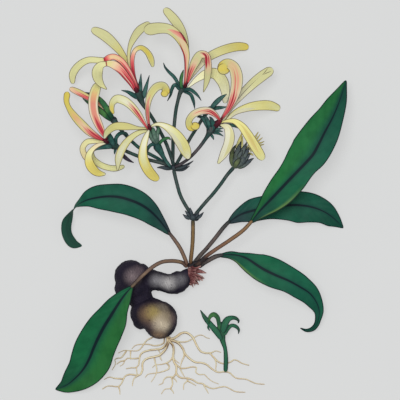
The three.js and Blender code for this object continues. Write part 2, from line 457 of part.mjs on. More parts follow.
// The flower heads: a stalk that widens into its cup, with sepals, and the petals that it holds
const FLOWERS = {
  1: {
    stalk: [
      [174, 165.4, 29, 1.8], [170.9, 156, 30.8, 1.8], [166, 143, 32, 1.8], [160, 131, 33, 1.8],
      [154, 120.5, 34, 1.8], [147.5, 110.5, 35, 1.8], [143.5, 105, 35.6, 2.1],
      [140.5, 98.5, 36.6, 3.6], [138, 92.8, 37.6, 4.2], [136.9, 90.2, 38, 3.8],
    ],
    sepals: [
      [[138.5, 97, 39, 1.8], [132, 93.6, 41, 1.6], [127, 91.6, 41, 1.1], [121, 90.8, 40, 0.3]],
      [[140.5, 94, 36.5, 1.7], [141.8, 87, 35.6, 1.6], [142.2, 80, 36, 1.1], [142, 74.4, 37, 0.3]],
      [[142, 97, 37.5, 1.9], [145.4, 89, 38, 1.7], [148, 82, 38.4, 1.2], [149.3, 75.4, 38, 0.3]],
      [[138, 96, 34.5, 1.6], [133, 92, 31, 1.3], [129, 87.5, 29, 0.3]],
    ],
    petals: {
      a: [
        [136.2, 88.5, 36, 1.2], [132.5, 76, 31, 1.4], [128, 64, 26, 2], [122.5, 54.5, 20, 3.2],
        [114.5, 44.5, 12.6, 4.6], [104, 35, 6, 5.2], [91, 28.2, 0.8, 3.6],
      ],
      b: [
        [137.8, 87.8, 36.4, 1.2], [131.5, 72, 34, 1.4], [128.8, 60, 32.5, 1.7],
        [129.4, 49, 30, 2.1], [133, 39.5, 26, 3.4], [139.5, 30, 20, 4.2], [150, 22.4, 13.5, 3],
      ],
      c: [
        [139.6, 88, 37.6, 1.3], [136, 80, 39.4, 2], [133, 70, 43, 2.3], [132.8, 58, 47, 2.3],
        [135.5, 50.5, 49, 2.3], [141, 48, 48, 2.6], [147, 52, 44.5, 3], [151, 59, 40, 3.2],
        [153, 67.2, 35, 1.5],
      ],
      d: [
        [136.2, 89, 40.6, 1.3], [130.2, 72, 46.4, 2.4], [124, 62.3, 48, 3], [116.5, 57.5, 49, 3.3],
        [110, 57.8, 49, 3.4], [105.5, 60.3, 47, 3], [98, 60, 42.5, 3.2], [88, 60.3, 35, 3.4],
        [78.5, 65.6, 26, 3.8], [72.6, 74, 17, 3.8], [72.4, 83.6, 9, 2],
      ],
      e: [
        [135, 91.5, 40.2, 1.3], [128, 82.5, 45.5, 2.8], [120, 73.5, 50, 3.4],
        [112.5, 67.4, 53, 3.8], [105.8, 65, 54.4, 4.2], [100, 64, 53.5, 4.6],
        [97.2, 70, 50, 5.2], [98, 78, 44, 5], [101.5, 84.3, 39, 3], [107, 89.4, 35.6, 0.5],
      ],
    },
  },
  2: {
    stalk: [
      [172.8, 165, 25, 1.8], [173, 152, 24.4, 1.8], [173.2, 138, 24.5, 1.8],
      [174.4, 124, 25, 1.8], [176, 110, 26, 1.8], [178.3, 99.5, 27, 1.8], [180.4, 92.5, 28, 2.3],
      [182.6, 88.6, 29.4, 3.2], [184, 86.4, 30.4, 2.9],
    ],
    sepals: [
      [[182, 89, 32.4, 1.5], [181, 81, 34.4, 1.9], [182, 75, 34.4, 1.6], [183.6, 69.6, 34.4, 0.3]],
      [[180.5, 88.5, 27.4, 1.6], [174.5, 77.5, 27, 1.8], [168.6, 71.6, 28, 1.5],
        [165, 67, 29, 1], [163.4, 62.6, 30, 0.3]],
      [[180, 90, 29.6, 1.6], [174.8, 84.8, 33, 1.8], [172, 89, 33.4, 1.8], [170.5, 95, 32, 1.2],
        [167.3, 101.2, 30, 0.3]],
      [[183, 90, 30, 1.6], [189.5, 89.4, 33.6, 1.9], [194.5, 92.5, 34, 1.7],
        [198.5, 96.5, 32.6, 1], [201.3, 100.8, 31, 0.3]],
      [[183, 91, 28.6, 1.5], [190.5, 94.4, 28, 1.8], [193.4, 101, 27, 1.6], [194.8, 109, 26, 0.3]],
    ],
    petals: {
      a: [
        [184.6, 84.6, 28.4, 1.2], [186.2, 68, 25, 1.5], [187, 52, 21, 2], [185.4, 40, 17.4, 3],
        [180.6, 28.6, 13, 4.4], [173.5, 18.2, 6.6, 4.8], [164, 7.6, 0.8, 3.6],
      ],
      b: [
        [184.6, 84.6, 34.6, 1.3], [186.4, 68, 39.4, 2], [186.4, 54, 42, 3.3], [182.5, 43, 45, 4.3],
        [176.5, 34.8, 47, 4.8], [169, 29.6, 47, 5], [160, 28.4, 43.5, 5.6], [151, 29.4, 38, 6],
        [144, 30.8, 33.5, 4.8],
      ],
      c: [
        [187, 83.4, 33, 1.3], [191, 72, 37.6, 3.2], [195.4, 62, 42, 4.6], [200.4, 55, 45, 4.2],
        [206, 55.6, 45.4, 3.6], [208, 63, 41.6, 3.6], [208, 72, 37, 3.6], [206.5, 82, 32.4, 2.8],
        [203.4, 92.4, 29, 0.5],
      ],
      d: [
        [186.4, 83.6, 30.6, 1.2], [194, 72.4, 29, 2.6], [203, 61, 26.4, 4], [213, 54.4, 22.6, 4.4],
        [225, 49.2, 17.6, 4.6], [238, 46.2, 9, 4.5], [249, 46.6, 2, 3.5],
      ],
      e: [
        [188, 87, 30.6, 1.2], [196, 80, 29, 2.8], [206, 74, 26, 4.6], [215, 73.6, 22, 5.6],
        [222, 80.4, 17.4, 5.8], [225.4, 91, 9.6, 4.6], [225, 103, 2, 2.2],
      ],
    },
  },
  3: {
    stalk: [
      [171.4, 166.2, 26.4, 1.8], [160, 162.5, 25, 1.8], [148, 159.5, 25, 1.8], [138, 156, 25.6, 1.8],
      [127, 151.5, 27, 1.8], [119.5, 148, 28.6, 2.2], [114.5, 145.5, 30, 4], [109.6, 143, 31, 4.5],
      [107, 141.8, 31.4, 4],
    ],
    sepals: [
      [[110.5, 142, 33, 1.8], [109.6, 135, 36, 1.8], [108, 130.5, 36.6, 1.3], [107, 127, 36, 0.3]],
      [[107.5, 140, 28.4, 1.3], [103.6, 132.5, 27, 1.2], [99.6, 125.6, 27, 0.3]],
      [[115, 146, 32, 1.6], [116.4, 138, 36, 1.8], [120.4, 133.6, 37, 1.6], [125, 133.8, 36.4, 1.2],
        [128.2, 136.6, 35, 0.3]],
      [[113, 146.5, 34, 1.8], [105.5, 147.4, 38.4, 2], [99.5, 149, 39.6, 1.5],
        [95, 151.3, 39.6, 0.3]],
      [[116, 147, 28.4, 1.5], [115.3, 151.5, 27, 1], [115, 154, 26, 0.3]],
      [[119.5, 148.5, 27.6, 1.2], [123.5, 155.5, 27, 1.7], [128.5, 160, 26, 1.4],
        [134, 163, 25, 0.3]],
    ],
    petals: {
      a: [
        [104.6, 140.4, 33, 1.3], [95, 133, 38, 2.6], [85, 123, 41, 3.2], [75.4, 114, 41, 3],
        [69.4, 106, 38, 2.7], [66.6, 98, 33.6, 3], [67, 91, 29, 2.4],
      ],
      b: [
        [106, 138.4, 33.4, 1.4], [99.6, 126.5, 34.6, 4], [94.2, 113, 34.6, 4.7], [93.2, 101, 31.6, 5],
        [95.2, 91, 26, 5], [98.4, 82.6, 20, 3.6],
      ],
      d: [
        [103.6, 142.2, 30.6, 1.3], [95, 141, 29, 2.6], [87, 142, 26, 3], [82.6, 148, 22, 3],
        [84.6, 155.6, 17, 3], [90, 162.5, 11.6, 2.4],
      ],
      e: [
        [104.4, 143.6, 33, 1.3], [97.4, 146.4, 35, 2.8], [91.2, 151.4, 35.6, 3.8],
        [88.6, 158.6, 33.6, 4.2], [91, 166.4, 29, 4.4], [97, 172, 23, 4], [106, 174.4, 17, 1.2],
      ],
      f: [
        [105, 144.4, 30, 1.2], [97.5, 146.5, 26, 2.4], [91.4, 151, 21, 2.8], [92.4, 157.6, 16, 3],
        [99, 164, 11, 3.2], [108, 167.6, 7, 3.1], [116, 168.2, 3, 3], [124.4, 166, 0.8, 1.8],
      ],
    },
  },
  4: {
    stalk: [
      [171, 167.4, 29.8, 1.8], [165.4, 160, 36.6, 1.8], [161.4, 154, 40.4, 2], [158.4, 149, 43, 3],
      [155.4, 142, 46, 5], [153, 135.6, 48.4, 5.2], [151.2, 131.6, 49.6, 4.2],
    ],
    sepals: [
      [[153.5, 144.5, 46, 1.7], [149.6, 145.6, 48, 1.7], [147.4, 149, 47.6, 1.2],
        [148, 153, 46, 0.3]],
      [[157, 145, 47, 1.6], [161.5, 141.5, 49, 1.7], [165.5, 138.6, 49.4, 1.4],
        [170.3, 137.4, 49, 0.3]],
      [[155, 139, 49, 1.8], [158.4, 132, 50.6, 1.6], [160, 127, 50.6, 0.4]],
    ],
    petals: {
      a: [
        [149.6, 127.4, 53.4, 1.3], [147.4, 116, 59, 2.2], [147.4, 105, 63, 2.8], [151, 94.6, 64.4, 3.8],
        [157, 87.4, 63.6, 4.2], [163.4, 86.4, 61, 4], [166, 91.4, 57.6, 4], [163.4, 96, 54.6, 2.6],
      ],
      b: [
        [147.2, 127.8, 53.4, 1.3], [139.2, 115.4, 57.6, 3.2], [131, 105.8, 60.6, 4], [124, 100.8, 60.6, 4.4],
        [117, 99.3, 58, 4.2], [112.6, 103.4, 54.4, 3.2], [112, 109, 51, 2.5], [113.8, 114.2, 48, 1],
      ],
      c: [
        [147, 129, 51.8, 1.2], [138, 128.3, 54.4, 1.9], [126, 126.6, 55, 3.9], [115, 126.8, 52.6, 3.9],
        [107.6, 132, 47.4, 3.2], [104.2, 138.8, 43, 1.2],
      ],
      d: [
        [148.4, 131.6, 49.4, 1.2], [140, 132.4, 50.4, 2.5], [131, 138, 48.6, 3.2], [123.4, 147, 43.6, 4],
        [118.8, 158, 37.6, 3.8], [117.6, 171, 30, 0.8],
      ],
      e: [
        [149.2, 131, 53.4, 1.3], [146, 138, 56.4, 3], [143.6, 147, 57, 3.8], [143.2, 158, 53.6, 5],
        [147, 168, 47.6, 5.2], [152.6, 175.4, 41, 4.8], [158.8, 180, 35, 3],
      ],
      f: [
        [151.4, 127, 52.8, 1.2], [158, 124.4, 55.4, 2], [166, 126.8, 57, 3.4], [174, 132.8, 56.4, 5],
        [180.6, 141.4, 53, 6], [185.6, 150.6, 47.4, 5.5], [188.6, 159, 41, 2.8],
      ],
    },
  },
  5: {
    stalk: [
      [174.8, 167, 28.4, 1.8], [183, 162.8, 31.4, 1.8], [190, 157.5, 34, 1.8], [199, 148, 37, 1.9],
      [206, 138.4, 40, 2.4], [209.6, 133.4, 41, 4.6], [213.6, 128.4, 42.6, 5.8],
      [217.2, 124.4, 44, 5], [219, 122.4, 44.6, 3.8],
    ],
    sepals: [
      [[209, 131, 42, 2.2], [205.8, 124, 43, 2.2], [202.4, 118.6, 43, 1.8], [198.5, 121.6, 42, 0.3]],
      [[215.5, 130, 41.6, 1.5], [219.6, 129.2, 41, 1.3], [223.2, 130.6, 40, 0.3]],
      [[213, 132, 41, 1.5], [219, 133.6, 40, 1.2], [223.4, 136.4, 39.4, 0.3]],
      [[210.5, 134, 40.4, 1.5], [212.6, 137.4, 39.6, 1], [213.8, 140, 39, 0.3]],
      [[218.5, 126, 43, 1.5], [228, 125, 42.4, 1.6], [236, 126.4, 42, 1.4], [242.6, 130.2, 41.6, 0.3]],
    ],
    petals: {
      a: [
        [221, 119.6, 48.4, 1.3], [228, 108.6, 53, 3], [233.4, 97.6, 57.6, 4.8], [236.4, 86, 60.4, 5.8],
        [236.4, 76, 61.4, 6.1], [233.4, 67.6, 60.4, 5.6], [227.4, 64, 58, 5],
        [222.6, 67.4, 54.4, 5.2], [222, 74, 50.6, 3.8],
      ],
      c: [
        [223.8, 119.6, 43.6, 1.2], [232, 106.6, 42.6, 2.6], [241, 95.4, 39.6, 4], [251, 85.4, 34.4, 4.8],
        [262, 76.2, 28.4, 5.2], [273, 68.8, 22, 4.6],
      ],
      d: [
        [224.2, 122, 42, 1.2], [235, 112.6, 38, 2.7], [246, 108, 33, 4], [258, 105.6, 23, 4.9],
        [270, 105.4, 11.6, 4.9], [280.4, 108.6, 1, 3],
      ],
      e: [
        [223.8, 121.8, 48, 1.3], [234, 121.4, 53, 2.8], [241.4, 126.4, 54, 4], [247.4, 134.4, 52, 4.7],
        [253.4, 144, 47, 5], [259, 153, 41, 4.8], [263.4, 160, 35.6, 3.6],
      ],
      f: [
        [221, 125.2, 47.6, 1.3], [227.4, 128, 51, 4], [229.6, 136, 52, 5], [228.2, 144.6, 50, 5],
        [224, 153.6, 45, 4.2], [217.8, 163.8, 38, 1.2],
      ],
      g: [
        [219.4, 120.4, 49.2, 1.4], [214.6, 113.4, 54, 2.9], [208, 110, 57, 3.7], [200, 110.6, 58, 3.8],
        [192.8, 115.2, 57, 3.6], [188.8, 121.8, 54.4, 3.4], [190.6, 127.4, 51.4, 3.8],
        [196, 127.4, 48.6, 3.6],
      ],
    },
  },
};
const BUD_STALKS = {
  bud_stalk_left: {
    stalk: [
      [172, 167, 22.6, 1.7], [165, 163.2, 20, 1.7], [158, 158.5, 18, 1.7], [148, 153, 16, 1.7],
      [139, 147.5, 15, 1.7], [130.5, 140, 14.6, 1.7], [122, 131, 14.6, 1.7],
      [117, 124.5, 15, 2.2], [113.5, 119.6, 16, 3.6], [111, 116, 16.4, 2.6],
    ],
    sepals: [
      [[112, 119, 17.6, 2], [106, 106.6, 18, 3], [98, 96.8, 17, 2.2], [91, 93.2, 16, 1.3],
        [84.3, 91.6, 15, 0.3]],
      [[112, 120, 14.6, 2], [102, 112.8, 14, 3], [93, 106.4, 13, 2.2], [87, 101.4, 13, 1.3],
        [82, 97.2, 13, 0.3]],
    ],
  },
  bud_stalk_right: {
    stalk: [
      [175, 166.6, 22.6, 1.7], [181, 156, 20.2, 1.7], [186, 146, 19.6, 1.7], [191, 137, 19.6, 1.7],
      [197, 127.5, 19.6, 1.7], [202.5, 119, 20, 1.7], [207, 112.5, 20.6, 2.2], [210, 109, 21, 3],
      [212.5, 106.8, 21.4, 2],
    ],
    sepals: [
      [[210.5, 109, 23, 1.8], [216, 102.6, 26, 2.6], [221.5, 97.6, 26.4, 2], [226.8, 94, 26, 0.3]],
      [[211, 109.4, 20.6, 1.6], [217.5, 107.8, 21, 2], [222.5, 107.4, 21, 1.4],
        [227, 106.6, 21, 0.3]],
    ],
  },
};
const BUD_PETAL = [
  [110.4, 115.4, 18.6, 1.2], [101, 105.4, 20.4, 2], [94.5, 101, 20.4, 2.4], [88, 97.3, 20, 2.8],
  [78, 92, 18.6, 3.2], [69.4, 88.4, 17, 2.4],
];

/** A flower's stalk, cup and sepals as one body. */
function calyx({ stalk, sepals }, holder) {
  const core = body(stalk, STALK);
  return seatedOn(joined([core, ...sepals.map((route) => body(route, SEPAL))]), holder);
}

/** A petal's route with its foot, half-way between the cup's heart and where it comes out. */
function rootedIn(stalk, route) {
  const heart = stalk[stalk.length - 2];
  const foot = route[0].slice(0, 3).map((value, i) => (value + heart[i]) / 2);
  return [[...foot, PETAL_FOOT], ...route];
}

/** The room that a petal takes with some clearance all round it. */
function petalRoom(route) {
  const wider = route.map(
    ([right, down, height, half]) => [right, down, height, half + PETAL_CLEARANCE],
  );
  return body(wider, { ...PETAL, halfThick: PETAL.halfThick + PETAL_CLEARANCE });
}

/** A petal seated in its cup, clear of the room of the petals before it. */
function petal(route, cup, rooms) {
  const blade = body(route, PETAL);
  return seatedOn(rooms.reduce((rest, room) => rest.subtract(room), blade), cup);
}

// The closed head: an egg of overlapping bracts with a few narrow florets that look out of it
const BUD_HEAD = {
  core: [
    [233.2, 168.2, 18.6, 2.4], [237, 163, 19, 6.8], [240.8, 157.6, 19.4, 8.4],
    [243.6, 152.6, 19.8, 6.6], [244.8, 150, 20, 4],
  ],
  bracts: [
    [[236, 166, 20, 1.8], [232.6, 159, 22, 2.8], [233.2, 151.5, 22.4, 2.4], [236, 145.6, 22, 0.3]],
    [[236.5, 165, 23, 1.8], [236.8, 157, 27, 3], [238.6, 149, 27.4, 2.6], [241, 140.4, 25, 0.3]],
    [[239, 164, 23, 1.8], [242, 156.5, 28, 3], [244, 149.5, 27.4, 2.4], [246.3, 142.4, 25, 0.3]],
    [[240, 164, 21, 1.8], [246, 158.5, 25, 2.8], [248, 153.5, 25, 2.2], [249.8, 148.4, 24, 0.3]],
    [[240, 164.5, 19, 1.8], [247, 162.6, 20, 2.6], [250.6, 160.4, 20.4, 1.8], [254, 158, 20, 0.3]],
    [[242.5, 159, 19.6, 2], [248.4, 156.4, 19.4, 2], [251.6, 152.4, 19, 0.3]],
    [[236.5, 165, 15, 1.8], [237, 157, 10.6, 3], [239.4, 149.6, 11, 2.4], [242, 143.6, 13, 0.3]],
    [[239.5, 164, 15, 1.8], [244.6, 157, 11, 3], [247, 151, 12.4, 2.2], [248.6, 146.6, 14, 0.3]],
  ],
};
const BUD_FLORETS = {
  bud_floret_left: [
    [[243.2, 152.4, 22, 1.1], [241.4, 143, 21.6, 1.6], [241.4, 132.4, 20, 0.4]],
  ],
  bud_floret_right: [
    [[245, 151.6, 21.6, 1.2], [251, 143.6, 21.6, 1.5], [258.6, 132.4, 20, 0.4]],
    [[249.6, 145.6, 21.6, 1.2], [256.6, 140.6, 21, 1.2], [263.6, 136.6, 19, 0.4]],
    [[250, 145.4, 21.4, 1.2], [257.6, 143.6, 20, 1.2], [265.4, 142, 17.6, 0.4]],
  ],
};

/** The closed head, seated on its peduncle. */
function budHead(holder) {
  const core = body(BUD_HEAD.core, STALK);
  const bracts = BUD_HEAD.bracts.map((route) => body(route, SEPAL));
  return seatedOn(joined([core, ...bracts]), holder);
}

/** A floret, or a tuft of florets grown together, seated in the closed head. */
function floret(routes, holder) {
  return seatedOn(joined(routes.map((route) => body(route, SEPAL))), holder);
}

// The young shoot: a short stem that rises from a root, with its first leaves still curled
const SHOOT = {
  stem: [
    [225.8, 374, 3, 2.2], [226, 360, 6, 2.2], [225, 349, 7.6, 2], [223, 340, 9, 2.6],
    [221.4, 333, 10, 4], [220.6, 327, 10.4, 4.4], [220.4, 322.5, 10.4, 2.4],
  ],
  leaves: {
    shoot_leaf_left: [
      [220.5, 336, 13.4, 2], [214.5, 329.4, 14.6, 2.6], [208, 321.6, 14.4, 2.5],
      [200.6, 310.6, 13, 0.4],
    ],
    shoot_leaf_loop: [
      [219, 329, 14.6, 2], [219.4, 320.4, 16.6, 2.2], [216.8, 315.2, 17.4, 2.2],
      [212.6, 314.8, 17.4, 2.1], [210, 319.4, 16.6, 1],
    ],
    shoot_leaf_right_upper: [
      [221.4, 325, 14.4, 2], [224.6, 319.4, 15.6, 2.4], [231, 317.4, 15.6, 2.6],
      [237, 319, 13.6, 1.8], [238.2, 324.2, 11, 0.4],
    ],
    shoot_leaf_right_lower: [
      [223.6, 331.6, 12.4, 2], [228, 327.2, 12, 2.4], [234, 326, 10.6, 2.4],
      [238.6, 329.4, 8.4, 1.6], [238.2, 335, 6.4, 0.4],
    ],
  },
};

/** A named mesh in its finish. */
function node(name, solid, finish) {
  const material = new THREE.MeshStandardMaterial({ ...FINISHES[finish], name: finish });
  const mesh = new THREE.Mesh(geometryFrom(solid), material);
  mesh.name = name;
  return mesh;
}

/** The rhizome with the crown, the leaves, the scape and the roots that it bears. */
function lowerPlant() {
  const group = new THREE.Group();
  const stock = rhizome();
  const leaves = Object.entries(LEAVES).map(([name, shape]) => [name, leaf(shape)]);
  const scape = body(STEMS.scape, STEM);
  group.add(node('rhizome', stock, 'rhizome'));
  const held = [stock, scape, ...leaves.map(([, solid]) => solid)];
  group.add(node('crown_tuft', crownTuft(held), 'tuft'));
  for (const [name, solid] of leaves) {
    group.add(node(name, solid, 'leaf'));
  }
  const roots = [];
  for (const [name, shape] of Object.entries(ROOTS)) {
    const solid = root(shape, stock, roots);
    roots.push(solid);
    group.add(node(name, solid, 'root'));
  }
  return { group, scape, roots };
}

/** The scape, its two peduncles and the whorls of bracts where they meet. */
function floweringStem(scape) {
  const group = new THREE.Group();
  const left = body(STEMS.peduncle_left, STEM);
  const right = body(STEMS.peduncle_right, STEM);
  const lower = whorl(WHORLS.lower_bract_whorl, [scape, left, right]);
  const upper = whorl(WHORLS.upper_bract_whorl, [left]);
  group.add(node('scape', scape, 'stem'));
  group.add(node('peduncle_left', left, 'stem'));
  group.add(node('peduncle_right', right, 'stem'));
  group.add(node('lower_bract_whorl', lower, 'calyx'));
  group.add(node('upper_bract_whorl', upper, 'calyx'));
  return { group, right, upper };
}

/** The open flowers and the buds on their stalks. */
function flowers(whorlKnob, peduncle) {
  const group = new THREE.Group();
  for (const [number, shape] of Object.entries(FLOWERS)) {
    const cup = calyx(shape, whorlKnob);
    group.add(node(`calyx_${number}`, cup, 'calyx'));
    const rooms = [];
    for (const [letter, shown] of Object.entries(shape.petals)) {
      const route = rootedIn(shape.stalk, shown);
      group.add(node(`petal_${number}${letter}`, petal(route, cup, rooms), 'petal'));
      rooms.push(petalRoom(route));
    }
  }
  const buds = Object.fromEntries(
    Object.entries(BUD_STALKS).map(([name, shape]) => [name, calyx(shape, whorlKnob)]),
  );
  for (const [name, cup] of Object.entries(buds)) {
    group.add(node(name, cup, 'calyx'));
  }
  const budRoute = rootedIn(BUD_STALKS.bud_stalk_left.stalk, BUD_PETAL);
  group.add(node('bud_petal', petal(budRoute, buds.bud_stalk_left, []), 'petal'));
  const head = budHead(peduncle);
  group.add(node('bud_head', head, 'calyx'));
  for (const [name, routes] of Object.entries(BUD_FLORETS)) {
    group.add(node(name, floret(routes, head), 'petal'));
  }
  return group;
}

/** The young shoot with its curled leaves, seated on the root that it rises from. */
function youngShoot(roots) {
  const group = new THREE.Group();
  const stem = seatedOn(body(SHOOT.stem, STEM), ...roots);
  group.add(node('shoot_stem', stem, 'shoot'));
  const thickness = { ...SEPAL, halfThick: SHOOT_HALF_THICK };
  for (const [name, route] of Object.entries(SHOOT.leaves)) {
    group.add(node(name, seatedOn(body(route, thickness), stem), 'shoot'));
  }
  return group;
}

const plant = new THREE.Group();
plant.name = 'honeysuckle';
const lower = lowerPlant();
const stem = floweringStem(lower.scape);
plant.add(lower.group, stem.group, flowers(stem.upper, stem.right), youngShoot(lower.roots));

export default plant;
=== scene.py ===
"""A bare-root flowering honeysuckle, laid flat on a pale surface and seen from above."""

import logging
import math
from bisect import bisect_left
from collections.abc import Callable, Mapping, Sequence
from dataclasses import dataclass, replace
from enum import Enum, IntEnum
from random import Random

import bmesh
import bpy
from bmesh.types import BMVert
from bpy.types import ID, Material, Node, NodeSocket, Object
from mathutils import Matrix, Quaternion, Vector, noise


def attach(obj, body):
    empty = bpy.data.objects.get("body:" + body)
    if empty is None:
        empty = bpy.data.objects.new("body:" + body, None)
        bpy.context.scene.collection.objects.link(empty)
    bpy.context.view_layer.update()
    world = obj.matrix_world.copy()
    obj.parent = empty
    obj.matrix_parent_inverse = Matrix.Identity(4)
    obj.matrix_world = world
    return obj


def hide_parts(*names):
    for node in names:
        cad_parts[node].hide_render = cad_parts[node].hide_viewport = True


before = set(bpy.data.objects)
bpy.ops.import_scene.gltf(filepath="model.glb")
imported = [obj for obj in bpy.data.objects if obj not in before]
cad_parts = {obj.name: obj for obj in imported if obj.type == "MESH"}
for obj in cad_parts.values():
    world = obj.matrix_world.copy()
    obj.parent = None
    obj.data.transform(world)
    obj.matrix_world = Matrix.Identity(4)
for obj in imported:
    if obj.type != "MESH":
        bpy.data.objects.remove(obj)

LOG = logging.getLogger("honeysuckle")
MM = 0.001
LAYOUT_MIDDLE = (200.75, 200.5)
SURFACE = 0.05 * MM
ROOT_BODY = "root"

Point = tuple[float, ...]
Points = Sequence[Point]
Colour = tuple[int, int, int]
Stops = Sequence[tuple[float, Colour]]


class Slot(Enum):
    """The kind of finish that a piece has."""

    PETAL = "petal"
    CALYX = "calyx"
    STEM = "stem"
    LEAF = "leaf"
    RHIZOME = "rhizome"
    ROOT = "root"
    TUFT = "tuft"
    SHOOT = "shoot"


def place_of(point: Point) -> Vector:
    """Turns a layout point into a place in the part's own frame.

    Args:
        point: Millimetres right, down and high, with anything after them ignored.

    Returns:
        The place in metres.
    """
    right, down, height = point[:3]
    return Vector((right - LAYOUT_MIDDLE[0], LAYOUT_MIDDLE[1] - down, height)) * MM


def linear(colour: Colour) -> tuple[float, float, float, float]:
    """Turns a screen colour from 0 to 255 into the linear colour that a shader takes."""
    parts = [part / 255 for part in colour]
    return (*((p / 12.92 if p < 0.04045 else ((p + 0.055) / 1.055) ** 2.4) for p in parts), 1.0)


def fade(first: Colour, *rest: float | Colour) -> Stops:
    """Lists a first colour at 0 and further ones, each after the place where it stands."""
    return ((0.0, first), *zip(rest[::2], rest[1::2]))


def stand(name: str, data: ID) -> Object:
    """Makes an object of some data and puts it in the scene.

    Args:
        name: The object's name.
        data: Its mesh, lamp or camera.

    Returns:
        The object.
    """
    thing = bpy.data.objects.new(name, data)
    bpy.context.scene.collection.objects.link(thing)
    return thing


# Lines and sections


@dataclass(frozen=True)
class Station:
    """One cross-section of a line."""

    centre: Vector
    face: Vector
    left: Vector
    halves: tuple[float, float]
    taper: float
    along: float

    def half(self, across: float) -> float:
        """Gives the half-width on the side that across points to."""
        return self.halves[0 if across > 0 else 1] * self.taper


class Line:
    """A smooth line through layout points, with its half-widths and its turns."""

    samples = 240
    thinnest = 0.1 * MM
    steepest = 0.3
    tip_rounding = 1.4

    def __init__(self, points: Points, turns: Sequence[float] | None = None) -> None:
        """Reads the points.

        Args:
            points: Layout points of right, down, height, half-width to the left, and
                half-width to the right where it differs.
            turns: Degrees that the upper face is turned by at each point.
        """
        self.places = [place_of(point) for point in points]
        self.sections = [
            Vector((point[3] * MM, point[min(4, len(point) - 1)] * MM, turns[i] if turns else 0))
            for i, point in enumerate(points)
        ]
        middles = [self.centre(i / self.samples) for i in range(self.samples + 1)]
        self.lengths = [0.0]
        for before, now in zip(middles, middles[1:]):
            self.lengths.append(self.lengths[-1] + (now - before).length)

    @staticmethod
    def _near(points: Sequence[Vector], t: float) -> tuple[list[Vector], float]:
        """Finds the four points that shape the line at t, and the share between the middle two."""
        last = len(points) - 1
        i = min(int(last * t), last - 1)
        before = points[i - 1] if i > 0 else 2 * points[0] - points[1]
        after = points[i + 2] if i + 2 <= last else 2 * points[-1] - points[-2]
        return [before, points[i], points[i + 1], after], last * t - i

    @staticmethod
    def _bent(p: Sequence[Vector], steps: Sequence[float], share: float) -> Vector:
        """Gives the place on a cubic through p[1] and p[2], with knots steps apart."""
        d0, d1, d2 = steps
        t1 = ((p[1] - p[0]) / d0 - (p[2] - p[0]) / (d0 + d1) + (p[2] - p[1]) / d1) * d1
        t2 = ((p[2] - p[1]) / d1 - (p[3] - p[1]) / (d1 + d2) + (p[3] - p[2]) / d2) * d1
        bend = 3 * (p[2] - p[1]) - 2 * t1 - t2
        twist = 2 * (p[1] - p[2]) + t1 + t2
        return p[1] + t1 * share + bend * share**2 + twist * share**3

    def centre(self, t: float) -> Vector:
        """Gives the middle of the line at t, from 0 to 1."""
        near, share = self._near(self.places, t)
        steps = [max((b - a).length ** 0.5, 1e-4) for a, b in zip(near, near[1:])]
        return self._bent(near, steps, share)

    def section(self, t: float) -> Vector:
        """Gives the half-widths to the left and right, and the turn, at t."""
        near, share = self._near(self.sections, t)
        return self._bent(near, (1.0, 1.0, 1.0), share)

    def at_length(self, share: float) -> float:
        """Turns a share of the line's length into t."""
        wanted = share * self.lengths[-1]
        low = min(max(bisect_left(self.lengths, wanted) - 1, 0), self.samples - 1)
        span = self.lengths[low + 1] - self.lengths[low]
        return min((low + (wanted - self.lengths[low]) / span) / self.samples, 1.0)

    def stations(self, count: int) -> list[Station]:
        """Cuts the line into cross-sections, closer together near the ends.

        Args:
            count: The number of steps between cross-sections.

        Returns:
            One more cross-section than there are steps.
        """
        found = []
        length = self.lengths[-1]
        nudge = 0.5 / self.samples
        upright = face = Vector((0, 0, 1))
        for i in range(count + 1):
            even = i / count
            along = (even + (1 - math.cos(even * math.pi)) / 2) / 2
            t = self.at_length(along)
            tangent = self.centre(min(t + nudge, 1)) - self.centre(max(t - nudge, 0))
            tangent.normalize()
            up = upright - tangent * tangent.z
            if up.length < self.steepest:
                up = face - tangent * face.dot(tangent)
            face = up.normalized()
            section = self.section(t)
            turned = Quaternion(tangent, math.radians(section.z)) @ face
            halves = (max(section.x, self.thinnest), max(section.y, self.thinnest))
            rounding = self.tip_rounding * max(halves)
            inside = 1 - min(min(along, 1 - along) * length / rounding, 1)
            taper = math.sqrt(max(1 - inside * inside, 0))
            left = turned.cross(tangent)
            found.append(Station(self.centre(t), turned, left, halves, taper, along))
        return found


@dataclass(frozen=True)
class RoundForm:
    """The form of a stalk or root: round, with a slightly uneven skin, and how finely it is cut."""

    uneven: float = 0.05
    grain: float = 2.5 * MM
    ridges: int = 0
    ridge: float = 0.05
    around: int = 20
    steps: int = 80

    def at(self, station: Station, across: float, through: float) -> Vector:
        """Gives the skin's place.

        Args:
            station: The cross-section.
            across: How far to the left, from -1 to 1.
            through: How far towards the face, from -1 to 1.

        Returns:
            The place in metres.
        """
        reach = (station.left * across + station.face * through) * station.half(across)
        place = station.centre + reach
        swell = self.uneven * noise.noise(place / self.grain)
        if self.ridges:
            swell += self.ridge * math.cos(self.ridges * math.atan2(through, across))
        return place + reach * swell


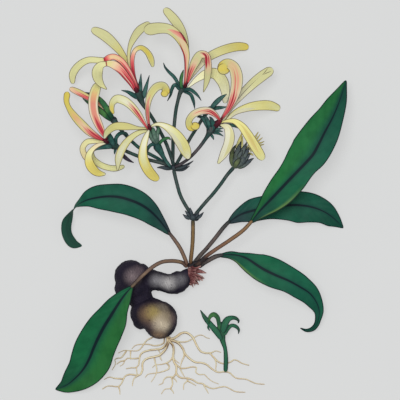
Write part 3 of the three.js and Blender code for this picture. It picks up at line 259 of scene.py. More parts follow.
@dataclass(frozen=True)
class BladeForm:
    """The form of a leaf, petal or scale: thin, cupped and waved, and how finely it is cut."""

    half_thick: float = 0.3 * MM
    cup: float = 0.1
    furrow: float = 0.0
    rib: float = 0.0
    rib_half: float = 0.8 * MM
    ripple: float = 0.0
    ripples: float = 5.0
    left_lag: float = 1.9
    pleat: float = 0.0
    pleats: float = 5.0
    pucker: float = 0.0
    veins: float = 12.0
    slant: float = 2.2
    around: int = 16
    steps: int = 40

    def at(self, station: Station, across: float, through: float) -> Vector:
        """Gives the skin's place.

        Args:
            station: The cross-section.
            across: How far to the left, from -1 to 1.
            through: How far towards the face, from -1 to 1.

        Returns:
            The place in metres.
        """
        half = station.half(across)
        edge = across * across
        phase = math.tau * self.ripples * station.along + (self.left_lag if across > 0 else 0.0)
        row = self.veins * station.along - self.slant * abs(across)
        between = abs(math.sin(math.pi * row)) - 0.5
        waves = self.ripple * edge * math.sin(phase)
        waves += self.pleat * math.cos(self.pleats * math.pi * across) * (1 - edge)
        waves += self.pucker * between * math.sin(math.pi * abs(across))
        lift = self.cup * edge * half + waves * station.taper
        middle = math.exp(-((across * half / self.rib_half) ** 2)) * station.taper
        skin = through * self.half_thick * math.sqrt(station.taper)
        skin -= (self.furrow if through > 0 else self.rib * (1 - station.along)) * middle
        return station.centre + station.left * across * half + station.face * (skin + lift)


Form = RoundForm | BladeForm


# Pieces


@dataclass(frozen=True)
class Knob:
    """An egg-shaped lump: its middle in the layout and half its sizes in millimetres."""

    centre: Point
    half: Point


class Piece:
    """One piece in the making: closed bodies that end up in one object."""

    measures = ("across", "along", "face", "inset", "south")

    def __init__(self, name: str, slot: Slot, node: str) -> None:
        """Starts an empty piece.

        Args:
            name: The object's name.
            slot: The kind of finish that it has; it is not used.
            node: The frame's node that it stands for.
        """
        self.name = name
        self.slot = slot
        self.node = node
        self.mesh = bmesh.new()
        self.layers = [self.mesh.verts.layers.float.new(measure) for measure in self.measures]

    def _ball(self, around: int, steps: int, coat: int) -> Sequence[BMVert]:
        """Adds a ball of radius 1, with its material's number, and gives its points."""
        made = bmesh.ops.create_uvsphere(self.mesh, u_segments=around, v_segments=steps, radius=1.0)
        self._coat(made["verts"], coat)
        return made["verts"]

    def _note(self, vert: BMVert, *values: float) -> None:
        """Writes a point's measures down for its material, in their order."""
        for layer, value in zip(self.layers, values):
            vert[layer] = value

    def draw(
        self, route: Points, form: Form, coat: int = 0, turns: Sequence[float] | None = None
    ) -> None:
        """Draws a ball out along a route, so that its poles are the route's two ends.

        Args:
            route: Layout points with half-widths.
            form: The shape of its cross-sections.
            coat: The number of the material that it wears.
            turns: Degrees that the upper face is turned by at each point.
        """
        stations = Line(route, turns).stations(form.steps)
        for vert in self._ball(form.around, form.steps, coat):
            height = min(max(vert.co.z, -1.0), 1.0)
            ring = form.steps - round(math.acos(height) / math.pi * form.steps)
            station = stations[ring]
            across = through = 0.0
            if 0 < ring < form.steps:
                spread = math.sqrt(1 - height * height)
                across, through = vert.co.x / spread, vert.co.y / spread
            place = form.at(station, across, through)
            place.z = max(place.z, SURFACE * (1 + through))
            vert.co = place
            inset = (1 - abs(across)) * station.half(across) / MM
            south = -(station.left.y * across + station.face.y * through)
            self._note(vert, across, station.along, through, inset, south)

    def draw_each(self, routes: Sequence[Points], form: Form, coat: int = 0) -> None:
        """Draws a body along each of some routes."""
        for route in routes:
            self.draw(route, form, coat)

    def lump(
        self, knob: Knob, fineness: int, coat: int = 0,
        bend: Callable[[Vector], float] | None = None,
    ) -> None:
        """Adds an egg-shaped lump.

        Args:
            knob: Its middle and sizes.
            fineness: The number of faces round it.
            coat: The number of the material that it wears.
            bend: How much further out a place on its skin is, as a share.
        """
        middle = place_of(knob.centre)
        for vert in self._ball(fineness, fineness * 2 // 3, coat):
            way = vert.co.copy()
            swell = 1 + (bend(way) if bend else 0.0)
            place = middle + Vector([w * h * MM * swell for w, h in zip(way, knob.half)])
            place.z = max(place.z, SURFACE)
            vert.co = place
            inset = (1 - math.hypot(way.x, way.y)) * min(knob.half[:2])
            self._note(vert, way.x, 0.5 + way.y / 2, way.z, inset)

    def melt(self, cell: float) -> None:
        """Melts the bodies into one skin of even cells.

        Args:
            cell: The cells' size in metres.
        """
        data = bpy.data.meshes.new("melting")
        self.mesh.to_mesh(data)
        thing = stand("melting", data)
        skin = thing.modifiers.new("skin", "REMESH")
        skin.mode = "VOXEL"
        skin.voxel_size = cell
        melted = thing.evaluated_get(bpy.context.evaluated_depsgraph_get())
        self.mesh.clear()
        self.mesh.from_mesh(melted.to_mesh())
        melted.to_mesh_clear()
        bpy.data.objects.remove(thing)
        bpy.data.meshes.remove(data)
        self._coat(self.mesh.verts, 0)

    def relax(self, times: int) -> None:
        """Smooths the skin, over and over."""
        every_way = {"use_axis_x": True, "use_axis_y": True, "use_axis_z": True}
        for _ in range(times):
            bmesh.ops.smooth_vert(self.mesh, verts=self.mesh.verts, factor=0.5, **every_way)

    def swell(self, height: Callable[[Vector], float]) -> None:
        """Moves the skin in or out.

        Args:
            height: How far out the skin goes at a place, in metres.
        """
        self.mesh.normal_update()
        moves = [vert.normal * height(vert.co) for vert in self.mesh.verts]
        for vert, move in zip(self.mesh.verts, moves):
            vert.co += move
            vert.co.z = max(vert.co.z, 0.0)

    @staticmethod
    def _coat(verts: Sequence[BMVert], coat: int) -> None:
        """Smooths the faces round some points and gives them their material."""
        for vert in verts:
            for side in vert.link_faces:
                side.smooth = True
                side.material_index = coat

    def finish(self, *coats: Material) -> None:
        """Makes the object, puts it on the plant in place of its node, and reports it.

        Args:
            coats: The materials, in the order of their numbers.
        """
        data = bpy.data.meshes.new(self.name)
        self.mesh.to_mesh(data)
        self.mesh.free()
        for coat in coats:
            data.materials.append(coat)
        thing = stand(self.name, data)
        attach(thing, ROOT_BODY)
        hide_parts(self.node)
        LOG.info("%s: %d faces", thing.name, len(data.polygons))


# Finishes


class Wire:
    """What comes out of a socket on a material's board: a number, a place or a colour."""

    def __init__(self, board: "Board", socket: NodeSocket) -> None:
        """Keeps the board and the socket."""
        self.board = board
        self.socket = socket

    def __add__(self, other: "Value") -> "Wire":
        """Adds a number."""
        return self.board.maths("ADD", self, other)

    def __sub__(self, other: "Value") -> "Wire":
        """Takes a number away."""
        return self.board.maths("SUBTRACT", self, other)

    def __mul__(self, other: "Value") -> "Wire":
        """Multiplies by a number."""
        return self.board.maths("MULTIPLY", self, other)

    def __abs__(self) -> "Wire":
        """Drops the sign."""
        return self.board.maths("ABSOLUTE", self)


Value = Wire | float | Colour | Vector


class Board:
    """The node board of one material: its colour so far, and the shader at its end."""

    sway = 5.0
    sway_scale = 140.0

    def __init__(self, name: str, roughness: float, shine: float = 0.15) -> None:
        """Starts a material.

        Args:
            name: The material's name.
            roughness: The roughness all over it.
            shine: How much of the sky it mirrors, where 0.5 is usual for a varnish.
        """
        self.material = bpy.data.materials.new(name)
        self.material.use_nodes = True
        self.tree = self.material.node_tree
        self.tree.nodes.clear()
        self.colour: Value = WHITE
        gloss = {"Roughness": roughness, "Specular IOR Level": shine}
        self.shader = self._node("BsdfPrincipled", gloss)
        self._node("OutputMaterial", {"Surface": Wire(self, self.shader.outputs["BSDF"])})

    def _fill(self, socket: NodeSocket, value: Value) -> None:
        """Links a socket to a wire, or sets it to a number or colour."""
        if isinstance(value, Wire):
            self.tree.links.new(value.socket, socket)
        else:
            socket.default_value = linear(value) if socket.type == "RGBA" else value

    def _node(
        self, kind: str, inputs: Mapping[str | int, Value], **settings: str
    ) -> Node:
        """Puts a node on the board.

        Args:
            kind: Its type, without the part that all types share.
            inputs: What goes into its sockets.
            settings: Its options.

        Returns:
            The node.
        """
        node = self.tree.nodes.new(f"ShaderNode{kind}")
        for option, choice in settings.items():
            setattr(node, option, choice)
        for name, value in inputs.items():
            self._fill(node.inputs[name], value)
        return node

    def _out(
        self, output: str | int, kind: str, inputs: Mapping[str | int, Value], **settings: str
    ) -> Wire:
        """Puts a node on the board, like _node, and gives what comes out of it."""
        return Wire(self, self._node(kind, inputs, **settings).outputs[output])

    def measure(self, name: str) -> Wire:
        """Reads one of the piece's own numbers: across, along, face, inset or south."""
        return self._out("Fac", "Attribute", {}, attribute_name=name)

    def place(self) -> Wire:
        """Reads the place on the object."""
        return self._out("Object", "TexCoord", {})

    def maths(self, kind: str, *values: Value) -> Wire:
        """Does a sum, by the name that Blender has for it."""
        return self._out(0, "Math", dict(enumerate(values)), operation=kind)

    def span(self, value: Value, low: float, high: float) -> Wire:
        """Eases a number from 0 at low to 1 at high."""
        inputs = {"Value": value, "From Min": low, "From Max": high}
        return self._out("Result", "MapRange", inputs, interpolation_type="SMOOTHSTEP")

    def _marked(self, value: Value, marks: Sequence[tuple[float, Point]], bend: str) -> Wire:
        """Turns a number into a colour.

        Args:
            value: The number.
            marks: Places from 0 to 1 with their linear colours.
            bend: Blender's name for the way from one colour to the next.

        Returns:
            The colour.
        """
        node = self._node("ValToRGB", {"Fac": value})
        node.color_ramp.interpolation = bend
        elements = node.color_ramp.elements
        while len(elements) < len(marks):
            elements.new(0.5)
        for element, (place, colour) in zip(elements, marks):
            element.position = place
            element.color = colour
        return Wire(self, node.outputs["Color"])

    def ramp(self, value: Value, stops: Stops) -> Wire:
        """Turns a number into a colour, by places from 0 to 1 with their colours."""
        return self._marked(value, [(at, linear(colour)) for at, colour in stops], "LINEAR")

    def curve(self, value: Value, points: Sequence[tuple[float, float]]) -> Wire:
        """Turns a number into another, along a smooth curve through points from 0 to 1."""
        return self._marked(value, [(at, (high, high, high, 1)) for at, high in points], "CARDINAL")

    def lay(self, share: Value, colour: Value, blend: str = "MIX") -> None:
        """Lays a colour over the colour so far.

        Args:
            share: How strongly it covers, from 0 to 1.
            colour: The colour.
            blend: MIX to cover with it, or MULTIPLY to stain with it.
        """
        inputs = {0: share, 6: self.colour, 7: colour}
        self.colour = self._out(2, "Mix", inputs, data_type="RGBA", blend_type=blend)

    def hatching(self, scale: float, lean: float) -> Wire:
        """Gives fine wavering lines, from -1 to 1.

        Args:
            scale: How close the lines are together.
            lean: The angle that they lean at, in radians.

        Returns:
            The lines' strength.
        """
        place = self.place()
        east, north, _ = self._node("SeparateXYZ", {0: place}).outputs
        steady = Wire(self, east) * (scale * math.sin(lean))
        steady += Wire(self, north) * (scale * math.cos(lean))
        return self.maths("SINE", (steady + self.noise(place, self.sway_scale) * self.sway) * math.tau)

    def vector(self, *parts: Value) -> Wire:
        """Makes a vector of up to three numbers."""
        return self._out(0, "CombineXYZ", dict(enumerate(parts)))

    def noise(self, where: Value, scale: float, detail: float = 3.0) -> Wire:
        """Gives a soft random number from 0 to 1 that changes from place to place."""
        return self._out("Fac", "TexNoise", {"Vector": where, "Scale": scale, "Detail": detail})

    def near(self, centre: Point, reach: float) -> Wire:
        """Gives 1 at a layout point and 0 beyond its reach in millimetres."""
        inputs = {0: self.place(), 1: place_of(centre)}
        off = self._out("Value", "VectorMath", inputs, operation="DISTANCE")
        return self.span(off, reach * MM, 0.0)

    def relief(self, height: Value, depth: float, strength: float = 0.6) -> None:
        """Gives the shader a fine relief of a depth in metres."""
        inputs = {"Distance": depth, "Strength": strength, "Height": height}
        self._fill(self.shader.inputs["Normal"], self._out("Normal", "Bump", inputs))

    def wear(self) -> Material:
        """Gives the shader the colour so far and hands the material over."""
        self._fill(self.shader.inputs["Base Color"], self.colour)
        return self.material


WHITE = (255, 255, 255)
CREAM = (222, 221, 196)
PALE = (214, 213, 160)
YELLOW = (214, 208, 138)
GOLD = (216, 202, 112)
DEEP_GOLD = (222, 204, 96)
APRICOT = (226, 178, 130)
PEACH = (232, 205, 168)
PINK = (236, 150, 138)
ROSE = (216, 92, 98)
RED = (182, 44, 66)
CLARET = (104, 22, 42)
INK = (84, 62, 58)
CRIMSON = (150, 20, 50)
# Ivory is paler than the petals' own colours: painted light where a petal lies in the shade of others.
IVORY = (248, 244, 214)
SALMON = (216, 142, 124)
BUFF = (222, 194, 150)


@dataclass(frozen=True)
class Streak:
    """A streak along a petal, pointed at both ends.

    Its route is a list of places along and across the petal.
    """

    route: Sequence[tuple[float, float]]
    half: float
    colour: Colour
    share: float = 0.9
    widest: float = 0.35

    def lay(self, board: Board, across: Wire, along: Wire) -> None:
        """Lays the streak over a petal's colour.

        Args:
            board: The petal's board.
            across: How far across the petal a place is.
            along: How far along the petal it is.
        """
        start, stop = self.route[0][0], self.route[-1][0]
        middle = board.curve(along, [(a, (c + 1) / 2) for a, c in self.route])
        swell = start + (stop - start) * self.widest
        body = ((start - 0.02, 0.0), (swell, 1.0), (swell + (stop - start) * 0.2, 1.0), (stop, 0.0))
        reach = board.curve(along, [(min(max(a, 0.0), 1.0), high) for a, high in body])
        off = abs(across * 0.5 + 0.5 - middle)
        board.lay(board.span(reach - off * (2 / self.half), 0.0, 0.4) * self.share, self.colour)


@dataclass(frozen=True)
class PetalFinish:
    """A waxy petal with a coloured throat, streaks along it, a crimson line of painted shade where it
    folds over, and a fine dark outline.
    """

    name: str
    tones: Stops
    rim: Stops | None = None
    rim_from: float = 0.35
    streaks: Sequence[Streak] = ()
    # How far along the petal the crimson line of painted shade lies, in the crease where it folds over.
    crease_shade: float | None = None
    outline_share: float = 0.85
    # How much paler the petal is painted: painted light against the shade on petals that lie under others
    # or turn away from the lamp.
    lift: float = 1.0
    rim_width: float = 0.45
    crease_shade_half: float = 0.014
    fibre: Colour = (238, 236, 228)
    brightest: int = 250

    def _lifted(self, stops: Stops) -> Stops:
        """Makes the colours paler by the petal's lift, as painted light against the shade on it."""
        return [
            (at, tuple(min(round(part * self.lift), self.brightest) for part in colour))
            for at, colour in stops
        ]

    def make(self) -> Material:
        """Makes the material."""
        board = Board(self.name, roughness=0.6)
        across, along = board.measure("across"), board.measure("along")
        soft = board.noise(board.vector(across * 2.2, along), scale=3.0)
        inside = along + (soft - 0.5) * 0.07
        board.colour = board.ramp(inside, self._lifted(self.tones))
        if self.rim:
            edge = board.span(abs(across), self.rim_from, self.rim_from + self.rim_width)
            board.lay(edge, board.ramp(inside, self._lifted(self.rim)))
        for streak in self.streaks:
            streak.lay(board, across, along)
        fibre = board.noise(board.vector(across * 16.0, along * 1.6), scale=1.4, detail=4.0)
        board.lay(board.span(fibre, 0.30, 0.75), self.fibre, "MULTIPLY")
        # Painted shade: a crimson line in the crease where the petal folds over.
        if self.crease_shade:
            board.lay(board.span(abs(along - self.crease_shade), self.crease_shade_half, 0.0), CRIMSON)
        board.lay(board.span(board.measure("inset"), 0.85, 0.35) * self.outline_share, INK)
        board.relief(fibre, depth=0.12 * MM, strength=0.5)
        return board.wear()


@dataclass(frozen=True)
class LeafFinish:
    """A smooth dark leaf with painted shade along its midrib, painted highlights on its left half and near
    the base of its right margin, dark margins and a duller underside.
    """

    tones: Stops = fade(
        (26, 40, 42), 0.12, (24, 74, 60), 0.35, (24, 98, 66), 0.6, (26, 92, 70), 1.0, (22, 72, 58)
    )
    # A painted highlight that makes the left half of the blade lighter.
    left: Colour = (32, 112, 58)
    left_share: float = 0.4
    cloud: Colour = (224, 232, 234)
    vein: Colour = (22, 60, 56)
    vein_share: float = 0.22
    # Painted shade that darkens the blade towards its midrib.
    midrib_shade: Colour = (20, 56, 56)
    midrib_shade_share: float = 0.5
    # A near-black band along the midrib, painted shadow in its furrow, narrowing towards the tip.
    midrib: Colour = (8, 26, 34)
    midrib_share: float = 0.95
    midrib_half: float = 0.145
    midrib_narrows: float = 0.09
    # A painted highlight: a paler band along the right margin near the base.
    light: Colour = (124, 156, 80)
    light_share: float = 0.0
    margin: Colour = (10, 28, 32)
    margin_share: float = 0.9
    underside: Colour = (40, 74, 62)
    underside_share: float = 0.75
    veins: float = 12.0
    slant: float = 2.2

    def make(self, name: str) -> Material:
        """Makes the material.

        Args:
            name: Its name.

        Returns:
            The material.
        """
        board = Board(name, roughness=0.55, shine=0.1)
        across, along, place = board.measure("across"), board.measure("along"), board.place()
        spread = abs(across)
        board.colour = board.ramp(along + board.noise(place, scale=42.0) * 0.12, self.tones)
        # Painted highlight over the left half.
        board.lay(board.span(across, -0.05, 0.55) * self.left_share, self.left)
        cloud = board.noise(place, scale=95.0, detail=4.0)
        board.lay(board.span(cloud, 0.35, 0.7), self.cloud, "MULTIPLY")
        ridge = abs(board.maths("SINE", (along * self.veins - spread * self.slant) * math.pi))
        vein = board.span(ridge, 0.16, 0.0) * board.span(spread, 0.95, 0.3)
        board.lay(vein * self.vein_share, self.vein)
        # Painted shade towards the midrib.
        board.lay(board.span(spread, 0.30, 0.02) * self.midrib_shade_share, self.midrib_shade)
        # Painted shadow along the midrib's furrow.
        within = along * -self.midrib_narrows + self.midrib_half - spread
        board.lay(board.span(within, 0.0, 0.05) * self.midrib_share, self.midrib)
        # Painted highlight along the right margin near the base.
        if self.light_share:
            low = board.span(along, 0.0, 0.06) * board.span(along, 0.42, 0.16)
            board.lay(board.span(across, -0.7, -0.95) * low * self.light_share, self.light)
        board.lay(board.span(board.measure("inset"), 1.35, 0.6) * self.margin_share, self.margin)
        below = board.span(board.measure("face"), 0.0, -0.12)
        board.lay(below * self.underside_share, self.underside)
        board.relief(board.noise(place, scale=900.0) + ridge * 0.8, depth=0.15 * MM)
        return board.wear()


@dataclass(frozen=True)
class SkinFinish:
    """The skin of a stalk, calyx, root or shoot: two tones, painted shade on its sides and, where asked,
    on its south side, fine grain.
    """

    name: str
    tones: Stops
    second: Colour
    second_share: float = 0.5
    second_grain: float = 120.0
    # The colour of the painted shade on the sides; the outline and the painted shadow on the south side
    # use it too.
    side: Colour = (22, 40, 40)
    side_from: float = 0.55
    side_share: float = 0.85
    roughness: float = 0.6
    fibres: float = 9.0
    fibre: Colour = (205, 200, 196)
    outline: float = 0.0
    shadow: float = 0.0

    def make(self) -> Material:
        """Makes the material."""
        board = Board(self.name, self.roughness)
        across, along, place = board.measure("across"), board.measure("along"), board.place()
        board.colour = board.ramp(along, self.tones)
        patch = board.span(board.noise(place, self.second_grain), 0.42, 0.64)
        board.lay(patch * self.second_share, self.second)
        # Painted shade on the sides, darkest at the edges.
        board.lay(board.span(abs(across), self.side_from, 1.0) * self.side_share, self.side)
        fibre = board.noise(board.vector(across * self.fibres, along * 14.0), scale=1.0, detail=4.0)
        board.lay(board.span(fibre, 0.35, 0.7), self.fibre, "MULTIPLY")
        if self.outline:
            line = board.span(board.measure("inset"), 0.75, 0.3) * self.outline
            board.lay(line * board.span(along, 0.04, 0.3), self.side)
        if self.shadow:
            board.lay(board.span(board.measure("south"), 0.1, 0.75) * self.shadow, self.side)
        board.relief(fibre + board.noise(place, scale=1500.0), depth=0.12 * MM)
        return board.wear()


@dataclass(frozen=True)
class BarkFinish:
    """The dark skin of old rhizome growth, with paler painted highlights on top of its lobes and its arm.
    """

    ground: Colour = (36, 31, 46)
    deep: Colour = (22, 19, 34)
    scar: Colour = (50, 42, 50)
    # Painted highlights, paler patches on the tops of the lobes and the arm: each a layout point with its
    # height, a reach in millimetres and a colour.
    painted_highlights: Sequence[tuple[Point, float, Colour]] = (
        ((157, 318, 33), 23, (122, 102, 92)),
        ((147, 314, 31), 13, (122, 98, 72)),
        ((154.5, 312.5, 33), 13, (164, 146, 88)),
        ((163, 306, 30), 10, (120, 112, 98)),
        ((162.5, 324, 33), 15, (214, 200, 174)),
        ((167, 316, 33), 11, (150, 136, 112)),
        ((159, 335, 26), 11, (140, 116, 92)),
        ((173, 319, 27), 9, (112, 96, 92)),
        ((133.4, 277, 33), 13.5, (136, 121, 124)),
        ((139, 270, 30), 9, (104, 90, 96)),
        ((157, 280.5, 23), 11.5, (140, 138, 142)),
        ((168.5, 282.5, 24), 13, (196, 193, 192)),
        ((180.5, 279.5, 23), 11, (116, 114, 118)),
    )

    def make(self) -> Material:
        """Makes the material."""
        board = Board("rhizome_bark", roughness=0.7, shine=0.12)
        place = board.place()
        fine = board.noise(place, scale=420.0, detail=5.0)
        board.colour = self.deep
        broad = board.noise(place, scale=70.0, detail=4.0)
        board.lay(board.span(broad, 0.35, 0.65), self.ground)
        board.lay(board.span(fine, 0.55, 0.78), self.scar)
        hatch = board.hatching(scale=520.0, lean=1.15)
        speckle, lines = board.span(fine, 0.16, 0.46), board.span(hatch, -0.4, 0.75)
        # Lays each painted highlight, speckled and hatched, over the dark bark.
        for centre, reach, tone in self.painted_highlights:
            highlight_mask = board.near(centre, reach) * speckle
            board.lay(board.maths("MAXIMUM", highlight_mask * 0.74, highlight_mask * lines), tone)
        board.relief(fine + hatch * 0.25, depth=0.5 * MM, strength=0.8)
        return board.wear()


@dataclass(frozen=True)
class FloorFinish:
    """A plain pale surface, lit a little from below as on a light table."""

    ground: Colour = (124, 126, 125)
    grain: Colour = (121, 123, 123)
    glow: float = 0.5

    def make(self) -> Material:
        """Makes the material."""
        board = Board("pale_surface", roughness=0.9, shine=0.0)
        board.shader.inputs["Emission Color"].default_value = linear(WHITE)
        board.shader.inputs["Emission Strength"].default_value = self.glow
        place = board.place()
        board.colour = self.ground
        board.lay(board.noise(place, scale=9.0, detail=2.0), self.grain)
        board.relief(board.noise(place, scale=1200.0), depth=0.05 * MM, strength=0.2)
        return board.wear()


# The lower plant


@dataclass(frozen=True)
class Rhizome:
    """The old growth: fat knobs with an arm that ends in this year's crown.

    Each of its bumps has a size and a height in millimetres, and a shift of the chance behind it.
    """

    knobs: Sequence[Knob] = (
        Knob((130.8, 276, 16.5), (16.6, 15.9, 17.5)), Knob((141.5, 273.4, 15), (9, 9.8, 14)),
        Knob((133, 289, 14.5), (19, 14, 15)), Knob((149.5, 313.5, 16), (19.5, 16, 16.5)),
        Knob((160, 320, 16.5), (17.4, 19.2, 17)), Knob((141, 321, 13), (8.6, 8.6, 11)),
    )
    arm: Points = (
        (134, 279, 15, 12), (147, 279.8, 14, 11.4), (155, 280.6, 13, 9.8), (162, 282.4, 12.4, 9.2),
        (168, 284, 12, 9.8), (174, 284, 12, 10.6), (180, 281, 12, 10.4), (185.4, 276, 12.6, 8.6),
        (187.2, 271, 13, 6.4), (187.6, 268, 13, 4.2),
    )
    neck: Points = ((134, 284, 14, 13), (139, 296, 13.5, 13), (147, 309, 14.5, 13))
    crown: Point = (193, 262, 12)
    cell: float = 0.85 * MM
    bumps: Sequence[tuple[float, float, Point]] = (
        (5.5, 0.62, (0, 0, 0)), (2.6, 0.3, (3, 7, 1)), (1.2, 0.1, (0, 0, 0)),
    )
    scar_step: float = 7.5
    scar_depth: float = 0.22
    scar_sway: float = 2.2

    def build(self) -> None:
        """Models the rhizome as one grown body and puts its bark on."""
        piece = Piece("old_rhizome", Slot.RHIZOME, "rhizome")
        for knob in self.knobs:
            piece.lump(knob, fineness=32)
        stout = RoundForm(grain=9 * MM, around=36, steps=40)
        piece.draw(self.arm, stout)
        piece.draw(self.neck, replace(stout, steps=24))
        piece.melt(self.cell)
        piece.relax(4)
        piece.swell(self._bark_height)
        piece.finish(BarkFinish().make())

    def _bark_height(self, place: Vector) -> float:
        """Gives how far the bark stands out at a place.

        Args:
            place: The place in metres.

        Returns:
            The height in metres.
        """
        bumps = [
            noise.noise(place / (size * MM) + Vector(shift)) * high
            for size, high, shift in self.bumps
        ]
        from_crown = (place - place_of(self.crown)).length / MM
        turn = math.tau * from_crown / self.scar_step + self.scar_sway * bumps[0]
        return (sum(bumps) - self.scar_depth * max(math.cos(turn), 0) ** 4) * MM


@dataclass(frozen=True)
class Crown:
    """The joined foot that the stalks grow from, with a tuft of old leaf bases below it.

    The shreds' lengths, halves, bow and low are millimetres; lean, fan and stray are degrees.
    """

    foot: Points = (
        (187.8, 267.4, 12.4, 2.6), (190.4, 265.6, 13.2, 3.3), (195, 264.4, 13, 3.5), (200.4, 262, 13, 2.6),
    )
    knob: Knob = Knob((190.6, 273.6, 12.5), (4.4, 7.6, 7.2))
    scales: Sequence[Points] = (
        ((192, 268, 16, 2), (197, 267.5, 18, 1.76), (201.2, 266, 18, 0.4)),
        ((193, 271, 15, 2.4), (200, 271.5, 16, 2.08), (206.6, 273.3, 15, 0.4)),
        ((193, 275, 10, 2.4), (199.5, 277, 9, 2.08), (204.5, 278.8, 7, 0.4)),
        ((193, 276, 15, 2), (198.5, 278, 16, 1.76), (203, 281, 15, 0.4)),
        ((191.5, 278, 9, 2.24), (195.5, 282, 7, 1.92), (198.8, 285, 5, 0.4)),
    )
    shreds: int = 84
    seed: int = 7
    lengths: tuple[float, float] = (7, 14)
    halves: tuple[float, float] = (0.34, 0.95)
    lean: float = 26
    fan: float = 38
    stray: float = 16
    bow: float = 1.5
    low: float = 9
    bark: SkinFinish = SkinFinish(
        "crown_bark", fade((44, 32, 40), 0.5, (44, 44, 48), 1, (40, 44, 46)), (66, 58, 60),
        second_grain=300, side=(20, 16, 24),
    )
    fibre: SkinFinish = SkinFinish(
        "tuft_scales", fade((84, 40, 42), 0.3, (112, 66, 66), 0.65, (166, 118, 116), 1, (216, 186, 176)),
        second=(110, 52, 50), second_share=0.6, second_grain=420, side=(70, 32, 38), side_from=0.35,
    )

    def build(self) -> None:
        """Models the crown."""
        piece = Piece("crown_with_tuft", Slot.TUFT, "crown_tuft")
        piece.draw(self.foot, RoundForm(uneven=0.12, steps=40))
        piece.lump(self.knob, fineness=24, coat=1, bend=self._uneven)
        broad = BladeForm(
            half_thick=0.4 * MM, cup=0.35, furrow=0.2 * MM, pleat=0.16 * MM, around=14, steps=24
        )
        piece.draw_each(self.scales, broad, coat=1)
        draw = Random(self.seed)
        narrow = BladeForm(half_thick=0.22 * MM, cup=0.5, around=8, steps=16)
        shreds = [self._shred(draw) for _ in range(self.shreds)]
        piece.draw_each(shreds, narrow, coat=1)
        piece.finish(self.bark.make(), self.fibre.make())

    @staticmethod
    def _uneven(way: Vector) -> float:
        """Gives the swelling of a knob towards a way."""
        return 0.06 * noise.noise(way * 3.1)

    def _shred(self, draw: Random) -> Points:
        """Draws one narrow scale at random, from the side of the crown outwards.

        Args:
            draw: The source of chance.

        Returns:
            Its layout points.
        """
        down = draw.uniform(-1, 1)
        middle, reach = self.knob.centre, self.knob.half
        start = Vector((middle[0] - 3.6 + 4.4 * draw.random(), middle[1] + 0.92 * reach[1] * down))
        off = math.hypot((start.x - middle[0]) / reach[0], (start.y - middle[1]) / reach[1])
        rise = reach[2] * math.sqrt(max(1 - off * off, 0)) * draw.choice((1, 1, 1, -0.6))
        high = middle[2] + rise
        turn = math.radians(self.lean + self.fan * down + draw.uniform(-self.stray, self.stray))
        way = Vector((math.cos(turn), math.sin(turn)))
        length = draw.uniform(*self.lengths) * (1 - 0.22 * abs(down) - 0.2 * max(down, 0))
        side = Vector((-way.y, way.x)) * draw.uniform(-self.bow, self.bow)
        bowed = start + way * length * 0.55 + side
        tip = start + way * length - side * 0.8
        half = draw.uniform(*self.halves)
        end = self.low + (high - self.low) * draw.uniform(0.35, 1.0)
        return (
            (*start, high - 0.2, half), (*bowed, (high + end) / 2 + 0.8, half * 1.15), (*tip, end, 0.18)
        )


@dataclass(frozen=True)
class Root:
    """One root with its forks, each traced in the layout from its start to its tip."""

    side: str
    strands: Sequence[Points]
    collar: tuple[float, float] = (168, 338)
    collar_height: float = 13.5
    fall: float = 11.0
    main_widths: tuple[float, float] = (1.3, 0.5)
    fork_widths: tuple[float, float] = (0.85, 0.36)

    def build(self, skin: Material) -> None:
        """Models the root.

        Args:
            skin: The roots' material.
        """
        piece = Piece(f"{self.side}_root", Slot.ROOT, f"root_{self.side}")
        for i, strand in enumerate(self.strands):
            wide, fine = self.fork_widths if i else self.main_widths
            around = 9 if i else 12
            routed = [
                (*place, *self._height(place, wide + (fine - wide) * k / (len(strand) - 1)))
                for k, place in enumerate(strand)
            ]
            steps = 16 + 8 * len(strand)
            piece.draw(routed, RoundForm(uneven=0.2, grain=1.6 * MM, around=around, steps=steps))
        piece.finish(skin)

    def _height(self, place: Point, half: float) -> tuple[float, float]:
        """Gives how high a strand lies, falling from the collar to the ground, and its half-width.

        Args:
            place: The layout point.
            half: The strand's half-width in millimetres.

        Returns:
            The height and the half-width in millimetres.
        """
        off = math.dist(place, self.collar)
        return half + self.collar_height * math.exp(-off / self.fall), half


